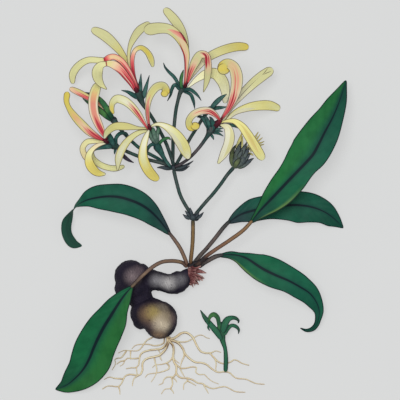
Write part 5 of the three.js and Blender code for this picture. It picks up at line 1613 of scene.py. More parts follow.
PETALS_2 = (
    Petal("a", ((184.6, 84.6, 28.4, 1.2), (186.2, 68, 25, 1.5), (187, 52, 21, 2), (185.4, 40, 17.4, 3),
        (180.6, 28.6, 13, 4.4), (173.5, 18.2, 6.6, 4.8), (164, 7.6, 0.8, 3.6)),
        fade(YELLOW, 0.3, PALE)),
    Petal("b", ((184.6, 84.6, 34.6, 1.3), (186.4, 68, 39.4, 2), (186.4, 54, 42, 3.3), (182.5, 43, 45, 4.3),
        (176.5, 34.8, 47, 4.8), (169, 29.6, 47, 5), (160, 28.4, 43.5, 5.6), (151, 29.4, 38, 6),
        (144, 30.8, 33.5, 4.8)),
        fade(CLARET, 0.05, RED, 0.14, PINK, 0.24, PEACH, 0.5, PEACH, 0.66, PALE),
        rim=fade(RED, 0.12, PEACH, 0.24, YELLOW, 0.6, YELLOW, 0.7, PALE),
        streaks=(
            Streak(((0, 0.3), (0.22, 0.55), (0.36, 0.78), (0.47, 0.72), (0.58, 0.4)), 0.42, RED, 1),
            Streak(((0.04, -0.2), (0.2, -0.1), (0.36, 0.1), (0.46, 0.2)), 0.2, PINK),
            Streak(((0.43, -0.95), (0.55, -0.8), (0.62, -0.4), (0.69, 0)), 0.46, CRIMSON, 1),
            Streak(((0.5, -0.5), (0.62, -0.2), (0.74, 0.2)), 0.5, PINK, 0.8),
        ),
    ),
    Petal("c", ((187, 83.4, 33, 1.3), (191, 72, 37.6, 3.2), (195.4, 62, 42, 4.6), (200.4, 55, 45, 4.2),
        (206, 55.6, 45.4, 3.6), (208, 63, 41.6, 3.6), (208, 72, 37, 3.6), (206.5, 82, 32.4, 2.8),
        (203.4, 92.4, 29, 0.5)),
        fade(CLARET, 0.04, RED, 0.12, ROSE, 0.24, PINK, 0.32, PEACH, 0.42, PALE, 0.47, PEACH, 0.56, PINK,
            0.68, PEACH, 0.8, PALE),
        rim=fade(RED, 0.06, PINK, 0.14, PALE, 0.44, PALE, 0.5, PEACH, 0.66, PEACH, 0.75, PALE),
        streaks=(
            Streak(((0.02, 0.8), (0.16, 0.75), (0.32, 0.7)), 0.22, RED, 0.95),
            Streak(((0, 0.2), (0.14, 0.25), (0.32, 0.1)), 0.22, RED, 0.95),
            Streak(((0.04, -0.4), (0.18, -0.35), (0.34, -0.4)), 0.16, ROSE, 0.85),
            Streak(((0.44, 0.3), (0.51, -0.2), (0.6, -0.45), (0.74, -0.55)), 0.42, RED, 1),
            Streak(((0.45, 0.5), (0.5, 0.1), (0.57, -0.3)), 0.24, CRIMSON),
            Streak(((0.48, 0.6), (0.56, 0.35), (0.7, 0.2)), 0.2, RED, 0.8),
        ),
    ),
    Petal("d", ((186.4, 83.6, 30.6, 1.2), (194, 72.4, 29, 2.6), (203, 61, 26.4, 4), (213, 54.4, 22.6, 4.4),
        (225, 49.2, 17.6, 4.6), (238, 46.2, 9, 4.5), (249, 46.6, 2, 3.5)),
        # Ivory towards the base: painted light in the shade of the petals above.
        fade(IVORY, 0.3, IVORY, 0.48, PALE, 0.7, YELLOW, 0.9, GOLD, 1, DEEP_GOLD), lift=1.03),
    Petal("e", ((188, 87, 30.6, 1.2), (196, 80, 29, 2.8), (206, 74, 26, 4.6), (215, 73.6, 22, 5.6),
        (222, 80.4, 17.4, 5.8), (225.4, 91, 9.6, 4.6), (225, 103, 2, 2.2)),
        # Cream all along: painted light in the shade of the flower above.
        fade(CREAM, 0.5, PALE, 1, CREAM), lift=1.15),
)
CALYX_3 = Calyx(
    ((171.4, 166.2, 26.4, 1.8), (160, 162.5, 25, 1.8), (148, 159.5, 25, 1.8), (138, 156, 25.6, 1.8),
     (127, 151.5, 27, 1.8), (119.5, 148, 28.6, 2.2), (114.5, 145.5, 30, 4), (109.6, 143, 31, 4.5),
     (107, 141.8, 31.4, 4)),
    sepals=(
        ((114, 146, 34, 2.4), (111.2, 139.6, 36.4, 3), (108.8, 133.4, 37, 1.8), (107.6, 129, 36, 0.3)),
        ((116, 145, 32, 1.7), (116.2, 138, 36, 1.9), (120.4, 133.4, 37, 1.9), (126, 133.8, 36.4, 1.6),
         (129, 137, 35, 0.4)),
        ((112.4, 146.5, 34, 2.4), (106, 146.8, 38, 2.5), (100.6, 148.2, 39.2, 1.6),
         (95, 150.4, 39.4, 0.3)),
        ((116, 147, 28.4, 1.6), (114.8, 151.5, 27, 1.1), (114.4, 154.4, 26, 0.3)),
    ),
    plum=(
        ((107.5, 140, 28.4, 1.5), (103.8, 132.5, 27, 1.5), (99.8, 125, 27, 0.3)),
        ((119, 150.4, 27.6, 1.5), (123.5, 156, 27, 2.1), (128.5, 160, 26, 1.6), (134, 162.8, 25, 0.3)),
    ),
    throat=((109, 143.4, 33, 1.6), (105.8, 141, 34.4, 2.2), (103.2, 138.8, 35, 1.3)),
)
PETALS_3 = (
    Petal("a", ((103.6, 140, 33.4, 1.3), (96.4, 136.4, 37, 3), (88.9, 131.2, 40, 4.2),
        (80.6, 123, 41.4, 4.3), (73.6, 115, 41, 3.6), (68.8, 107.6, 38.6, 2.7), (66.6, 101.4, 35, 2.8),
        (67, 94.6, 30.6, 3.2), (67.4, 91.6, 28.6, 2.4)),
        fade(CLARET, 0.05, RED, 0.14, ROSE, 0.3, PINK, 0.4, PEACH, 0.55, APRICOT, 0.7, GOLD, 0.84,
            DEEP_GOLD), rim=fade(RED, 0.14, ROSE, 0.24, PEACH, 0.4, YELLOW, 0.7, GOLD, 1, DEEP_GOLD),
        streaks=(
            Streak(((0, 0.2), (0.16, -0.1), (0.4, -0.25)), 0.26, RED, 0.95),
            Streak(((0.04, 0.7), (0.16, 0.6), (0.36, 0.5)), 0.2, RED, 0.85),
            Streak(((0.1, 0.3), (0.26, 0.2), (0.5, 0.1)), 0.16, ROSE, 0.7),
        ),
    ),
    Petal("b", ((106, 138.4, 33.4, 1.4), (99.6, 126.5, 34.6, 4), (94.2, 113, 34.6, 4.7),
        (93.2, 101, 31.6, 5), (95.2, 91, 26, 5), (98.4, 82.6, 20, 3.6)),
        fade(CLARET, 0.05, RED, 0.2, ROSE, 0.42, SALMON, 0.62, SALMON, 0.76, APRICOT, 0.88, YELLOW, 1,
            PALE), lift=1.05, rim=fade(RED, 0.1, PINK, 0.2, PEACH, 0.6, CREAM, 0.8, PALE),
        streaks=(
            Streak(((0, 0), (0.2, 0.1), (0.5, 0.1)), 0.34, RED),
            Streak(((0, -0.5), (0.14, -0.45), (0.36, -0.35)), 0.2, RED),
            Streak(((0.04, 0.6), (0.2, 0.55), (0.4, 0.45)), 0.16, ROSE, 0.8),
        ),
    ),
    Petal("d", ((103.6, 142.2, 30.6, 1.3), (95, 141, 29, 2.6), (87, 142, 26, 3), (82.6, 148, 22, 3),
        (84.6, 155.6, 17, 3), (90, 162.5, 11.6, 2.4)),
        fade(PALE, 0.4, PALE, 1, PEACH), lift=1.1),
    Petal("e", ((104.4, 143.6, 33, 1.2), (98, 145.2, 34.6, 2.2), (92.4, 149.4, 35.2, 2.5),
        (89, 155.4, 34.6, 3.4), (89.4, 163, 31.4, 4.6), (93.2, 169.4, 26.4, 4.6), (98.6, 173.2, 21.4, 3.4),
        (105.6, 174.2, 17, 1.2)),
        fade(CREAM, 0.2, PEACH, 0.36, PALE, 0.56, GOLD, 0.9, GOLD, 1, PALE), lift=1.13),
    Petal("f", ((105, 144.4, 30, 1.2), (97.5, 146.5, 26, 2.4), (91.4, 151, 21, 2.8), (92.4, 157.6, 16, 3),
        (99, 164, 11, 3.2), (108, 167.6, 7, 3.1), (116, 168.2, 3, 3), (124.4, 166, 0.8, 1.8)),
        PLAIN, lift=1.12),
)
CALYX_4 = Calyx(
    ((171, 167.4, 29.8, 1.8), (167, 162.5, 34, 1.9), (163.5, 157, 38, 2.2), (160.6, 151.5, 41.5, 3.2),
     (157.8, 147, 44, 4.2), (156.8, 144.2, 45, 3.3), (155.6, 141, 46.4, 3.8), (153.8, 135.5, 48.2, 4.4),
     (153, 130.6, 49.4, 3.6)),
    sepals=(
        ((156, 144.8, 47, 1.7), (151.6, 144.8, 48.4, 1.8), (148.2, 148.4, 48, 1.5),
         (147.8, 153.2, 46, 0.3)),
    ),
    green=(
        ((159, 144.8, 47, 1.4), (161.6, 141.2, 49.4, 1.7), (165.6, 138.7, 49.8, 1.7),
         (169.2, 138.4, 49.2, 1.2), (170.6, 140.4, 48.6, 0.4)),
    ),
    tubes=(
        ((157.2, 144, 47.5, 1.4), (152.6, 139, 50.5, 2.3), (149.8, 132.5, 51.5, 1.9),
         (149.4, 129, 51, 1)),
        ((157.6, 143.5, 48.5, 1.4), (155, 137, 52, 2.4), (153.4, 131, 52.6, 2.3),
         (153, 127.5, 51.6, 1.4)),
        ((158.4, 143, 47.5, 1.2), (157.6, 136, 51, 2), (158.2, 130.4, 51, 1.9), (159.2, 127, 50, 1.2)),
    ),
    throat=((151.4, 131, 52, 1.4), (149.8, 127.6, 54, 2), (149, 123.8, 55.6, 1.1)),
    stalk_coat=Coat.SEPAL,
)
PETALS_4 = (
    Petal("a", ((149.6, 127.4, 53.4, 1.3), (147.9, 116, 59, 2.2), (148.1, 105, 63, 2.8),
        (151, 94.6, 64.4, 3.8), (157, 87.4, 63.6, 4.2), (163.4, 86.4, 61, 4), (166, 91.4, 57.6, 4),
        (163.4, 96, 54.6, 2.6)),
        fade(CLARET, 0.06, RED, 0.16, ROSE, 0.28, PINK, 0.46, PEACH, 0.56, YELLOW, 0.84, YELLOW, 0.92,
            DEEP_GOLD), rim=fade(RED, 0.12, PEACH, 0.3, PALE, 0.84, PALE, 0.92, DEEP_GOLD),
        roll=Knob((164.7, 94, 56.8), (3.8, 3.5, 1.6)),
        streaks=(
            Streak(((0, 0), (0.2, -0.05), (0.34, -0.3), (0.5, -0.4)), 0.3, RED, 1),
            Streak(((0.02, 0.55), (0.2, 0.5), (0.42, 0.4), (0.6, 0.1)), 0.18, RED, 0.95),
            # Painted highlight: a pale cream streak.
            Streak(((0.04, 0.2), (0.2, 0.25), (0.4, 0.1)), 0.12, CREAM, 0.8),
            Streak(((0.2, 0.1), (0.4, 0), (0.64, -0.1)), 0.2, ROSE, 0.8),
        ),
    ),
    Petal("b", ((147.2, 127.8, 53.4, 1.3), (139.2, 115.4, 57.6, 3.2), (131, 105.8, 60.6, 4),
        (124, 100.8, 60.6, 4.4), (117, 99.3, 58, 4.2), (112.6, 103.4, 54.4, 3.2), (112, 109, 51, 2.5),
        (113.8, 114.2, 48, 1)),
        fade(CLARET, 0.06, RED, 0.16, ROSE, 0.26, PINK, 0.42, PEACH, 0.54, CREAM, 0.8, PALE, 0.88, GOLD,
            1, DEEP_GOLD), rim=fade(RED, 0.12, PEACH, 0.3, PALE, 0.84, PALE, 1, GOLD), lift=1.06,
        streaks=(
            Streak(((0, -0.1), (0.18, 0), (0.34, -0.15), (0.62, -0.3)), 0.22, RED, 1),
            Streak(((0.04, 0.55), (0.24, 0.5), (0.6, 0.3)), 0.18, RED),
            # Painted highlight: a pale cream streak.
            Streak(((0.06, -0.6), (0.2, -0.55), (0.36, -0.6)), 0.14, CREAM, 0.8),
            Streak(((0.16, 0.2), (0.36, 0.1), (0.6, 0)), 0.14, ROSE, 0.8),
        ),
    ),
    Petal("c", ((147, 129, 51.8, 1.2), (138, 128.3, 54.4, 1.9), (126, 126.6, 55, 3.9),
        (115, 126.8, 52.6, 3.9), (107.6, 132, 47.4, 3.2), (104.2, 138.8, 43, 1.2)),
        fade(PALE, 0.4, YELLOW, 0.75, YELLOW, 0.9, PALE, 1, CREAM)),
    Petal("d", ((148.4, 131.6, 49.4, 1.2), (140, 132.4, 50.4, 2.5), (131, 138, 48.6, 3.2),
        (123.4, 147, 43.6, 4), (118.8, 158, 37.6, 3.8), (117.6, 171, 30, 0.8)),
        fade(PALE, 0.35, PALE, 0.7, CREAM, 1, PALE), rim=fade(PALE, 0.5, YELLOW, 1, PALE),
        lift=1.04),
    Petal("e", ((149.2, 131, 53.4, 1.3), (146, 138, 56.4, 3), (143.6, 147, 57, 3.8), (143.2, 158, 53.6, 5),
        (147, 168, 47.6, 5.2), (152.6, 175.4, 41, 4.8), (158.8, 180, 35, 3)),
        fade(CREAM, 0.3, CREAM, 0.55, PALE, 0.75, GOLD), rim=fade(PALE, 0.3, YELLOW, 0.5, GOLD),
        lift=1.09),
    Petal("f", ((151.4, 127, 52.8, 1.2), (158, 124.4, 55.4, 2), (166, 126.8, 57, 3.4),
        (174, 132.8, 56.4, 5), (180.6, 141.4, 53, 6), (185.6, 150.6, 47.4, 5.5), (188.6, 159, 41, 2.8)),
        fade(PALE, 0.3, CREAM, 0.5, PALE, 0.8, YELLOW, 1, CREAM),
        rim=fade(PALE, 0.3, YELLOW, 0.7, YELLOW, 1, PALE), lift=1.09,
        streaks=(
            # Painted highlight: a pale cream streak.
            Streak(((0.3, -0.6), (0.6, -0.6), (0.95, -0.5)), 0.6, CREAM, 0.8),
        ),
    ),
)
CALYX_5 = Calyx(
    ((174.8, 167, 28.4, 1.6), (183, 162.8, 31.4, 1.6), (190, 157.5, 34, 1.6), (199, 148, 37, 1.7),
     (206, 138.4, 40, 1.9), (208.8, 134, 41, 2.8), (210.8, 129.4, 42.4, 4.5), (211.6, 124.8, 43.6, 5),
     (210.6, 121, 44.4, 3.8)),
    sepals=(
        ((210, 131.4, 45, 1.6), (206.4, 124, 47.4, 2.3), (203, 118.6, 47.4, 2), (199.6, 116.8, 46.4, 1.4),
         (197, 117.4, 46, 0.4)),
        ((210.8, 131, 46, 1.7), (208.6, 124, 48.6, 2.3), (206, 118, 48.6, 1.7), (203.8, 115.8, 48, 0.5)),
        ((211.6, 131.4, 45.6, 1.8), (213, 125.4, 48, 2.7), (211.6, 120, 48.8, 2),
         (209.4, 116.6, 48.4, 0.5)),
        ((212, 131, 43.4, 1.5), (217.4, 129.2, 44, 1.5), (223.4, 128.2, 43, 0.3)),
        ((212.4, 131.8, 42.4, 1.4), (218.4, 131, 42.4, 1.3), (223, 131.8, 42, 0.3)),
        ((212, 132.8, 42, 1.5), (218, 133.4, 42, 1.4), (223.6, 136.4, 41.4, 0.3)),
        ((210, 133.6, 41.6, 1.6), (212.6, 137, 40.6, 1.3), (213.8, 140, 40, 0.3)),
        ((218.5, 126, 43, 1.5), (228, 125, 42.4, 1.8), (236, 126.4, 42, 1.5), (242.6, 130.2, 41.6, 0.3)),
    ),
    throat=((212.6, 128, 44.4, 2.6), (217, 124, 46.4, 3.4), (221.6, 119.6, 48.6, 1.6)),
    stalk_coat=Coat.VIOLET,
)
PETALS_5 = (
    Petal("a", ((221, 119.6, 48.4, 1.3), (228.6, 108.6, 53, 2.9), (233.4, 97.6, 57.6, 4.8),
        (236.4, 86, 60.4, 5.8), (236.4, 76, 61.4, 6.1), (233.4, 67.6, 60.4, 5.6), (227.4, 64, 58, 5),
        (222.6, 67.4, 54.4, 5.2), (222, 74, 50.6, 3.8)),
        fade(CLARET, 0.07, CLARET, 0.12, ROSE, 0.3, PINK, 0.44, PEACH, 0.6, BUFF, 0.78, BUFF, 0.84,
            YELLOW, 0.9, DEEP_GOLD),
        rim=fade(CLARET, 0.08, PEACH, 0.3, CREAM, 0.78, PALE, 0.88, DEEP_GOLD), rim_from=0.5,
        roll=Knob((223.6, 69.4, 55.6), (6.3, 5.7, 1.9)),
        streaks=(
            Streak(((0.04, -0.2), (0.2, -0.1), (0.36, 0.05), (0.56, 0.2)), 0.24, RED, 1),
            Streak(((0.04, -0.45), (0.2, -0.6), (0.32, -0.5), (0.48, -0.3)), 0.2, RED, 0.95),
            Streak(((0.1, 0.5), (0.26, 0.5), (0.46, 0.55)), 0.16, ROSE, 0.8),
            Streak(((0.3, 0.2), (0.5, 0.25), (0.8, 0.2)), 0.16, ROSE, 0.7),
            Streak(((0.34, -0.3), (0.54, -0.2), (0.8, -0.2)), 0.16, PINK, 0.8),
        ),
    ),
    Petal("c", ((223.8, 119.6, 43.6, 1.2), (232, 106.6, 42.6, 2.6), (241, 95.4, 39.6, 4),
        (251, 85.4, 34.4, 4.8), (262, 76.2, 28.4, 5.2), (273, 68.8, 22, 4.6)),
        # Ivory on the inner part: painted light in the shade of the petal above.
        fade(IVORY, 0.4, IVORY, 0.65, PALE), lift=1.03,
        streaks=(
            Streak(((0.08, -0.15), (0.5, 0), (0.86, 0.2)), 0.09, INK, 0.85),
            Streak(((0.82, 0.15), (0.9, 0.45), (0.97, 0.8)), 0.09, INK, 0.8),
            Streak(((0.83, 0.1), (0.91, -0.05), (1, -0.3)), 0.09, INK, 0.8),
        ),
    ),
    Petal("d", ((224.2, 122, 42, 1.2), (235, 112.6, 38, 2.7), (246, 108, 33, 4), (258, 105.6, 23, 4.9),
        (270, 105.4, 11.6, 4.9), (280.4, 108.6, 1, 3)),
        fade(CREAM, 0.3, PALE, 0.7, YELLOW, 1, PALE), rim=fade(YELLOW, 1, YELLOW), lift=1.13,
        streaks=(
            # Painted highlight: a pale cream streak.
            Streak(((0.04, -0.4), (0.3, -0.4), (0.6, -0.5)), 0.7, CREAM, 0.8),
        ),
    ),
    Petal("e", ((223.8, 121.8, 48, 1.3), (234, 121.4, 53, 2.8), (241.4, 126.4, 54, 4),
        (247.4, 134.4, 52, 4.7), (253.4, 144, 47, 5), (259, 153, 41, 4.8), (263.4, 160, 35.6, 3.6)),
        fade(YELLOW, 0.3, YELLOW, 0.6, YELLOW, 0.85, YELLOW, 1, PALE), lift=1.13,
        streaks=(
            Streak(((0.3, 0.1), (0.6, 0), (0.95, -0.1)), 0.5, APRICOT, 0.35),
            Streak(((0.2, 0.1), (0.5, 0.1), (0.9, 0)), 0.34, GOLD, 0.5),
        ),
    ),
    Petal("f", ((221, 125.2, 47.6, 1.3), (227.4, 128, 51, 4), (229.6, 136, 52, 5), (228.2, 144.6, 50, 5),
        (224, 153.6, 45, 4.2), (217.8, 163.8, 38, 1.2)),
        fade(PALE, 0.3, CREAM, 0.8, CREAM, 1, PALE), lift=1.07,
        streaks=(
            Streak(((0.1, 0.5), (0.5, 0.5), (0.95, 0.4)), 0.6, YELLOW, 0.7),
        ),
    ),
    Petal("g", ((219.4, 120.4, 49.2, 1.4), (214.4, 114.1, 54, 2.9), (208, 111, 57, 3.7),
        (200.3, 111.5, 58, 3.8), (192.8, 115.2, 57, 3.6), (188.8, 121.8, 54.4, 3.4),
        (190.6, 127.4, 51.4, 3.8), (196, 127.4, 48.6, 3.6)),
        fade(CLARET, 0.06, RED, 0.16, ROSE, 0.28, PINK, 0.4, PEACH, 0.6, PEACH, 0.72, YELLOW, 0.84,
            YELLOW, 0.9, DEEP_GOLD), rim=fade(RED, 0.12, PEACH, 0.4, CREAM, 0.8, YELLOW, 0.9, DEEP_GOLD),
        roll=Knob((195.2, 126.3, 50.6), (4.7, 4.1, 1.7)),
        streaks=(
            Streak(((0, 0.2), (0.14, 0.4), (0.28, 0.2), (0.52, 0.25)), 0.24, RED, 1),
            Streak(((0.06, -0.25), (0.26, -0.25), (0.48, -0.2)), 0.18, RED, 1),
            # Painted highlight: a pale cream streak.
            Streak(((0.1, -0.75), (0.24, -0.7), (0.46, -0.6)), 0.14, CREAM, 0.8),
            Streak(((0.1, 0.8), (0.3, 0.75), (0.58, 0.5)), 0.16, ROSE),
            Streak(((0.3, 0.05), (0.46, 0), (0.68, 0.05)), 0.14, ROSE, 0.8),
        ),
    ),
)
FLOWERS = (
    Flower(1, (138, 92.8, 37.6), CALYX_1, PETALS_1),
    Flower(2, (182.6, 88.6, 29.4), CALYX_2, PETALS_2),
    Flower(3, (109.6, 143, 31), CALYX_3, PETALS_3),
    Flower(4, (153, 135.6, 48.4), CALYX_4, PETALS_4),
    Flower(5, (217.2, 124.4, 44), CALYX_5, PETALS_5),
)


BUDS = (
    ("left_bud", "bud_stalk_left", Calyx(
        ((172, 167, 22.6, 1.7), (165, 163.2, 20, 1.7), (158, 158.5, 18, 1.7), (148, 153, 16, 1.7),
         (139, 147.5, 15, 1.7), (130.5, 140, 14.6, 1.7), (122, 131, 14.6, 1.7), (117, 124.5, 15, 2.2),
         (113.5, 119.6, 16, 3.6), (111, 116, 16.4, 2.6)),
        green=(
            ((112.6, 119, 19.4, 2.2), (107.8, 110.4, 23, 3), (102.6, 102.6, 23.6, 2.8), (97, 97, 21.6, 2),
             (91, 94, 18, 1.3), (84.4, 92, 16, 0.3)),
            ((112.6, 120.4, 17, 2.2), (106, 115.6, 21, 2.9), (99, 109.8, 21.6, 2.8),
             (92, 104.8, 17.4, 2.2), (87, 101.6, 14.6, 1.4), (82.2, 98, 14, 0.3)),
        ),
        stalk_coat=Coat.SEPAL,
    )),
    ("right_bud", "bud_stalk_right", Calyx(
        ((175, 166.6, 22.6, 1.7), (181, 156, 20.2, 1.7), (186, 146, 19.6, 1.7), (191, 137, 19.6, 1.7),
         (197, 127.5, 19.6, 1.7), (202.5, 119, 20, 1.7), (207, 112.5, 20.6, 2.2), (210, 109, 21, 3),
         (212.5, 106.8, 21.4, 2)),
        sepals=(
            ((210.5, 109, 23, 1.8), (216, 102.6, 26, 2.6), (221.5, 97.6, 26.4, 2), (226.8, 94, 26, 0.3)),
            ((211, 109.4, 20.6, 1.6), (217.5, 107.8, 21, 2), (222.5, 107.4, 21, 1.4),
             (227, 106.6, 21, 0.3)),
        ),
    )),
)
LEFT_BUD_HEART = (113.5, 119.6, 16)
BUD_PETAL = Petal(
    "a", ((110.4, 115.4, 17.4, 1.2), (101, 105.6, 19.2, 2), (94.5, 101, 19.6, 2.4), (88, 97.2, 19.6, 2.9),
        (78, 92, 18.6, 3.3), (69.2, 88, 17, 2.5)),
    fade(CREAM, 0.3, PEACH, 0.45, ROSE, 0.7, PINK, 1, PEACH),
    rim=fade(CREAM, 0.3, PEACH, 0.5, PINK, 1, PEACH),
    streaks=(
        Streak(((0.2, -0.6), (0.6, -0.6), (1, -0.5)), 0.5, YELLOW, 0.9, 0.6),
        Streak(((0.2, -0.1), (0.6, -0.05), (0.95, 0)), 0.16, RED, 0.95, 0.3),
        Streak(((0.3, 0.6), (0.6, 0.6), (0.95, 0.5)), 0.6, ROSE, 0.85, 0.3),
    ),
    form=BladeForm(cup=0.15, furrow=0.2 * MM, around=28, steps=80),
)


@dataclass(frozen=True)
class BudHead:
    """The closed head: an egg of overlapping bracts with a few narrow florets."""

    core: Points = ((233.2, 168.2, 18.6, 2.4), (237, 163, 19, 6.8), (240.8, 157.6, 19.4, 8.4),
        (243.6, 152.6, 19.8, 6.6), (244.8, 150, 20, 4))
    olive: Sequence[Points] = (
        ((233.2, 167, 20, 1.6), (231.7, 160, 22.4, 2.5), (232.2, 152.5, 23.4, 2.2), (234.6, 147, 23, 1.2),
         (237.2, 144, 22, 0.3)),
        ((234.6, 167.6, 21.5, 1.8), (236.4, 163.4, 26.4, 2.7), (238.6, 160.4, 28.4, 2.1),
         (241, 157.8, 28.8, 0.4)),
    )
    slate: Sequence[Points] = (
        ((235, 160, 24, 2.2), (237, 153, 27.2, 2.8), (239.2, 146.8, 27, 2), (241.3, 140.7, 25, 0.3)),
        ((239.4, 158, 25, 2.2), (242.4, 151.8, 27.6, 2.7), (244.8, 146.8, 26.8, 1.9),
         (246.9, 141.9, 25, 0.3)),
        ((241.8, 160, 24, 2.2), (245, 155, 26, 2.6), (247.2, 150.8, 25.6, 1.9),
         (248.9, 146.8, 24.6, 0.3)),
        ((242, 162.4, 23.4, 2), (246, 158.4, 24.6, 2.3), (248.4, 155.6, 24, 1.6), (250.5, 153, 23, 0.3)),
        ((237.6, 168, 20.6, 1.8), (243, 165.4, 22.6, 2.6), (248.4, 161.8, 22.6, 2.2),
         (251.6, 159.4, 21.6, 1.2), (254.1, 158.2, 20.6, 0.3)),
        ((237.4, 158.6, 27, 1.2), (240, 154.4, 28.8, 2.2), (242.8, 150, 28.4, 0.4)),
        ((236.5, 165, 15, 1.8), (237, 157, 10.6, 3), (239.4, 149.6, 11, 2.4), (242, 143.6, 13, 0.3)),
        ((239.5, 164, 15, 1.8), (244.6, 157, 11, 3), (247, 151, 12.4, 2.2), (248.6, 146.6, 14, 0.3)),
    )
    left: Sequence[Points] = (
        ((237.6, 152, 22, 2.2), (238.4, 146, 22.6, 2.5), (240, 139.6, 22, 1.7),
         (242.1, 132.2, 20.6, 0.3)),
        ((242.6, 152.4, 22, 1.3), (242, 144, 21.6, 1.4), (242.4, 136, 20, 0.4)),
    )
    right: Sequence[Points] = (
        ((246, 151.6, 21.6, 1.4), (252, 142.6, 21.6, 1.6), (258.5, 131.6, 20, 0.4)),
        ((248, 150, 21.6, 1.2), (255, 141.4, 21.4, 1.2), (260.4, 134, 20, 0.3)),
        ((249, 150, 21.6, 1.2), (256.6, 142.6, 21, 1.2), (262.8, 137.3, 19, 0.3)),
        ((250, 150, 21.4, 1.2), (257.6, 144.4, 20, 1.2), (264.6, 141.2, 17.6, 0.3)),
        ((250, 151.4, 21.2, 1.2), (257.6, 146.4, 19.4, 1.2), (264.4, 144, 17, 0.3)),
        ((246, 156, 20.6, 1.2), (250, 153.6, 20, 1.3), (253.6, 155.4, 19, 0.4)),
        ((245.4, 152, 21.6, 1.2), (248.6, 146, 21, 1.3), (250.4, 141.6, 20, 0.4)),
    )
    skin: SkinFinish = SkinFinish(
        "slate_bracts", fade((90, 102, 80), 0.35, (96, 110, 108), 0.7, (68, 78, 90), 1, (30, 32, 42)),
        second=(104, 114, 108), second_share=0.6, second_grain=300, side=(20, 22, 32), outline=0.95,
    )
    olive_skin: SkinFinish = SkinFinish(
        "olive_bracts", fade((100, 114, 88), 0.5, (120, 134, 92), 0.8, (84, 96, 78), 1, (34, 38, 42)),
        second=(88, 104, 72), second_grain=300, side=(22, 26, 32), outline=0.95,
    )
    straw: PetalFinish = PetalFinish(
        "floret_straw", fade(PALE, 0.6, YELLOW, 1, GOLD), outline_share=0.55, lift=1.08,
    )

    def build(self) -> None:
        """Models the head and its florets."""
        piece = Piece("bud_head_bracts", Slot.CALYX, "bud_head")
        piece.draw(self.core, RoundForm(around=24, steps=40))
        form = BladeForm(half_thick=0.4 * MM, cup=-0.3, furrow=0.2 * MM, rib=0.4 * MM)
        piece.draw_each(self.slate, form)
        piece.draw_each(self.olive, form, coat=1)
        piece.finish(self.skin.make(), self.olive_skin.make())
        straw = self.straw.make()
        tufts = (
            ("left_floret", "bud_floret_left", self.left),
            ("right_florets", "bud_floret_right", self.right),
        )
        for name, node, routes in tufts:
            tuft = Piece(name, Slot.PETAL, node)
            tuft.draw_each(routes, BladeForm(cup=0.3, around=12, steps=36))
            tuft.finish(straw)


@dataclass(frozen=True)
class YoungShoot:
    """A short shoot that rises from a root, with its first leaves still curled."""

    stem: Points = ((225.6, 372.6, 3, 2.1), (226, 360, 6, 2.2), (225.2, 349, 7.6, 1.9),
        (222.8, 341, 9, 2.7), (221.6, 334, 10, 3.9), (221.4, 327.5, 10.6, 4.2), (221.4, 322, 10.6, 2.4))
    leaves: Sequence[tuple[str, str, Sequence[Points]]] = (
        ("shoot_left_leaf", "shoot_leaf_left", (
            ((221.6, 340, 13.4, 2), (216.4, 331.8, 14.6, 3.1), (210.6, 324.8, 14.6, 2.8),
             (205, 318, 14, 2.2), (200.3, 310.2, 13, 0.4)),
            ((209, 324, 13.6, 1.1), (208.2, 328, 12.4, 1), (209.9, 331.2, 11.6, 0.3)),
        )),
        ("shoot_looped_leaf", "shoot_leaf_loop", (
            ((220, 330, 14.6, 2.4), (218.8, 322.6, 16.4, 2.1), (217.4, 317.4, 17.4, 2.3),
             (213.8, 314.7, 17.6, 2.5), (210.3, 316.6, 17.4, 1.9), (208.9, 321, 16.6, 1.1),
             (209.2, 324.4, 15.6, 0.6)),
        )),
        ("shoot_right_upper_leaf", "shoot_leaf_right_upper", (
            ((222.8, 333, 14.4, 2.6), (224.4, 325.6, 15.6, 3.6), (227.4, 320, 16, 3.3),
             (231.6, 318, 15.6, 2.3), (236, 318.6, 14, 1.8), (238.7, 321.4, 12.6, 1.1),
             (238, 323.8, 11.6, 0.3)),
        )),
        ("shoot_right_lower_leaf", "shoot_leaf_right_lower", (
            ((224.4, 335.6, 12.4, 1.8), (227, 329.8, 12.4, 2.3), (231.4, 325.9, 11.4, 1.9),
             (235.6, 326.6, 9.8, 1.9), (238.8, 330, 8.4, 1.3), (238.5, 334.4, 7, 0.3)),
        )),
    )
    skin: SkinFinish = SkinFinish(
        "shoot_skin", fade((40, 98, 76), 0.55, (48, 116, 84), 0.8, (46, 80, 66), 1, (40, 42, 46)),
        second=(56, 112, 78), side=(16, 40, 42), side_from=0.45, outline=0.75,
    )
    loop_skin: SkinFinish = SkinFinish(
        "looped_leaf_skin", fade((38, 92, 72), 0.45, (46, 96, 60), 0.75, (60, 110, 62), 1, (44, 84, 60)),
        second=(74, 128, 70), side=(28, 60, 44), outline=0.6,
    )

    def build(self) -> None:
        """Models the stem and the curled leaves."""
        skin, loop_skin = self.skin.make(), self.loop_skin.make()
        stem = Piece("shoot_stalk", Slot.SHOOT, "shoot_stem")
        stem.draw(self.stem, RoundForm(ridges=4))
        stem.finish(skin)
        form = BladeForm(
            half_thick=0.6 * MM, cup=0.3, furrow=0.35 * MM, rib=0.3 * MM, around=20, steps=56
        )
        for name, node, routes in self.leaves:
            leaf = Piece(name, Slot.SHOOT, node)
            leaf.draw_each(routes, form)
            leaf.finish(loop_skin if "loop" in node else skin)


# The studio


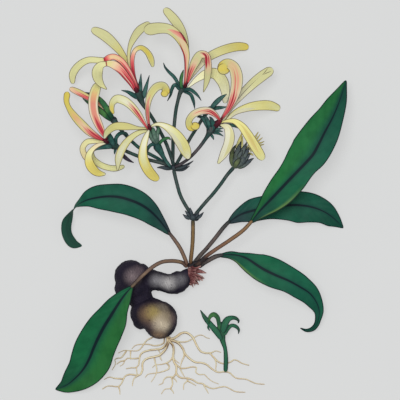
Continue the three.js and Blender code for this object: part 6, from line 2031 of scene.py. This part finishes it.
@dataclass(frozen=True)
class Studio:
    """A plain pale surface, soft light from all round, and the camera straight above."""

    floor_size: float = 24.0
    floor_drop: float = 0.2 * MM
    camera_place: Point = (-0.75 * MM, 0.5 * MM, 8.03)
    lens: float = 720.0
    sensor: float = 36.0
    sight: float = 200.0
    sky: float = 0.36
    lamp: float = 2.02
    lamp_softness: float = 30.0
    lamp_from: Point = (-0.2, 0.22, 1.6)

    def build(self) -> None:
        """Lays the floor, lights it and hangs the camera."""
        self._floor()
        self._light()
        self._camera()

    def _floor(self) -> None:
        """Lays the floor."""
        plane = bmesh.new()
        bmesh.ops.create_grid(plane, x_segments=1, y_segments=1, size=self.floor_size / 2)
        data = bpy.data.meshes.new("pale_floor")
        plane.to_mesh(data)
        plane.free()
        data.transform(Matrix.Translation((0, 0, -self.floor_drop)))
        data.materials.append(FloorFinish().make())
        stand("pale_floor", data)

    def _light(self) -> None:
        """Lights the scene evenly, with a soft lamp overhead and a little to the upper left."""
        world = bpy.data.worlds.new("soft_sky")
        world.use_nodes = True
        back = world.node_tree.nodes["Background"]
        back.inputs["Color"].default_value = (1.0, 1.0, 1.0, 1.0)
        back.inputs["Strength"].default_value = self.sky
        bpy.context.scene.world = world
        data = bpy.data.lights.new("soft_lamp", "SUN")
        data.energy = self.lamp
        data.angle = math.radians(self.lamp_softness)
        lamp = stand("soft_lamp", data)
        lamp.rotation_euler = Vector(self.lamp_from).to_track_quat("Z", "Y").to_euler()
        bpy.context.scene.view_settings.view_transform = "Standard"

    def _camera(self) -> None:
        """Hangs the camera over the middle of the plant, looking straight down."""
        data = bpy.data.cameras.new("camera")
        data.lens = self.lens
        data.sensor_width = self.sensor
        data.clip_end = self.sight
        camera = stand("camera", data)
        camera.location = self.camera_place
        bpy.context.scene.camera = camera


def main() -> None:
    """Builds the plant from the ground up, then the studio round it."""
    logging.basicConfig(level=logging.INFO, format="%(message)s")
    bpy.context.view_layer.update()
    Studio().build()
    Rhizome().build()
    Crown().build()
    root_skin = ROOT_SKIN.make()
    for root in ROOTS:
        root.build(root_skin)
    for leaf in LEAVES:
        leaf.build()
    skins = [skin.make() for skin in CALYX_SKINS.values()]
    FloweringStem().build(skins[Coat.STALK])
    bract_skin = BRACT_SKIN.make()
    for whorl in WHORLS:
        whorl.build(bract_skin)
    for flower in FLOWERS:
        flower.build(skins)
    for name, node, calyx in BUDS:
        calyx.build(name, node, skins)
    BUD_PETAL.build("left_bud_petal", "bud_petal", LEFT_BUD_HEART)
    BudHead().build()
    YoungShoot().build()
    LOG.info("everything is built")


if __name__ == "__main__":
    main()
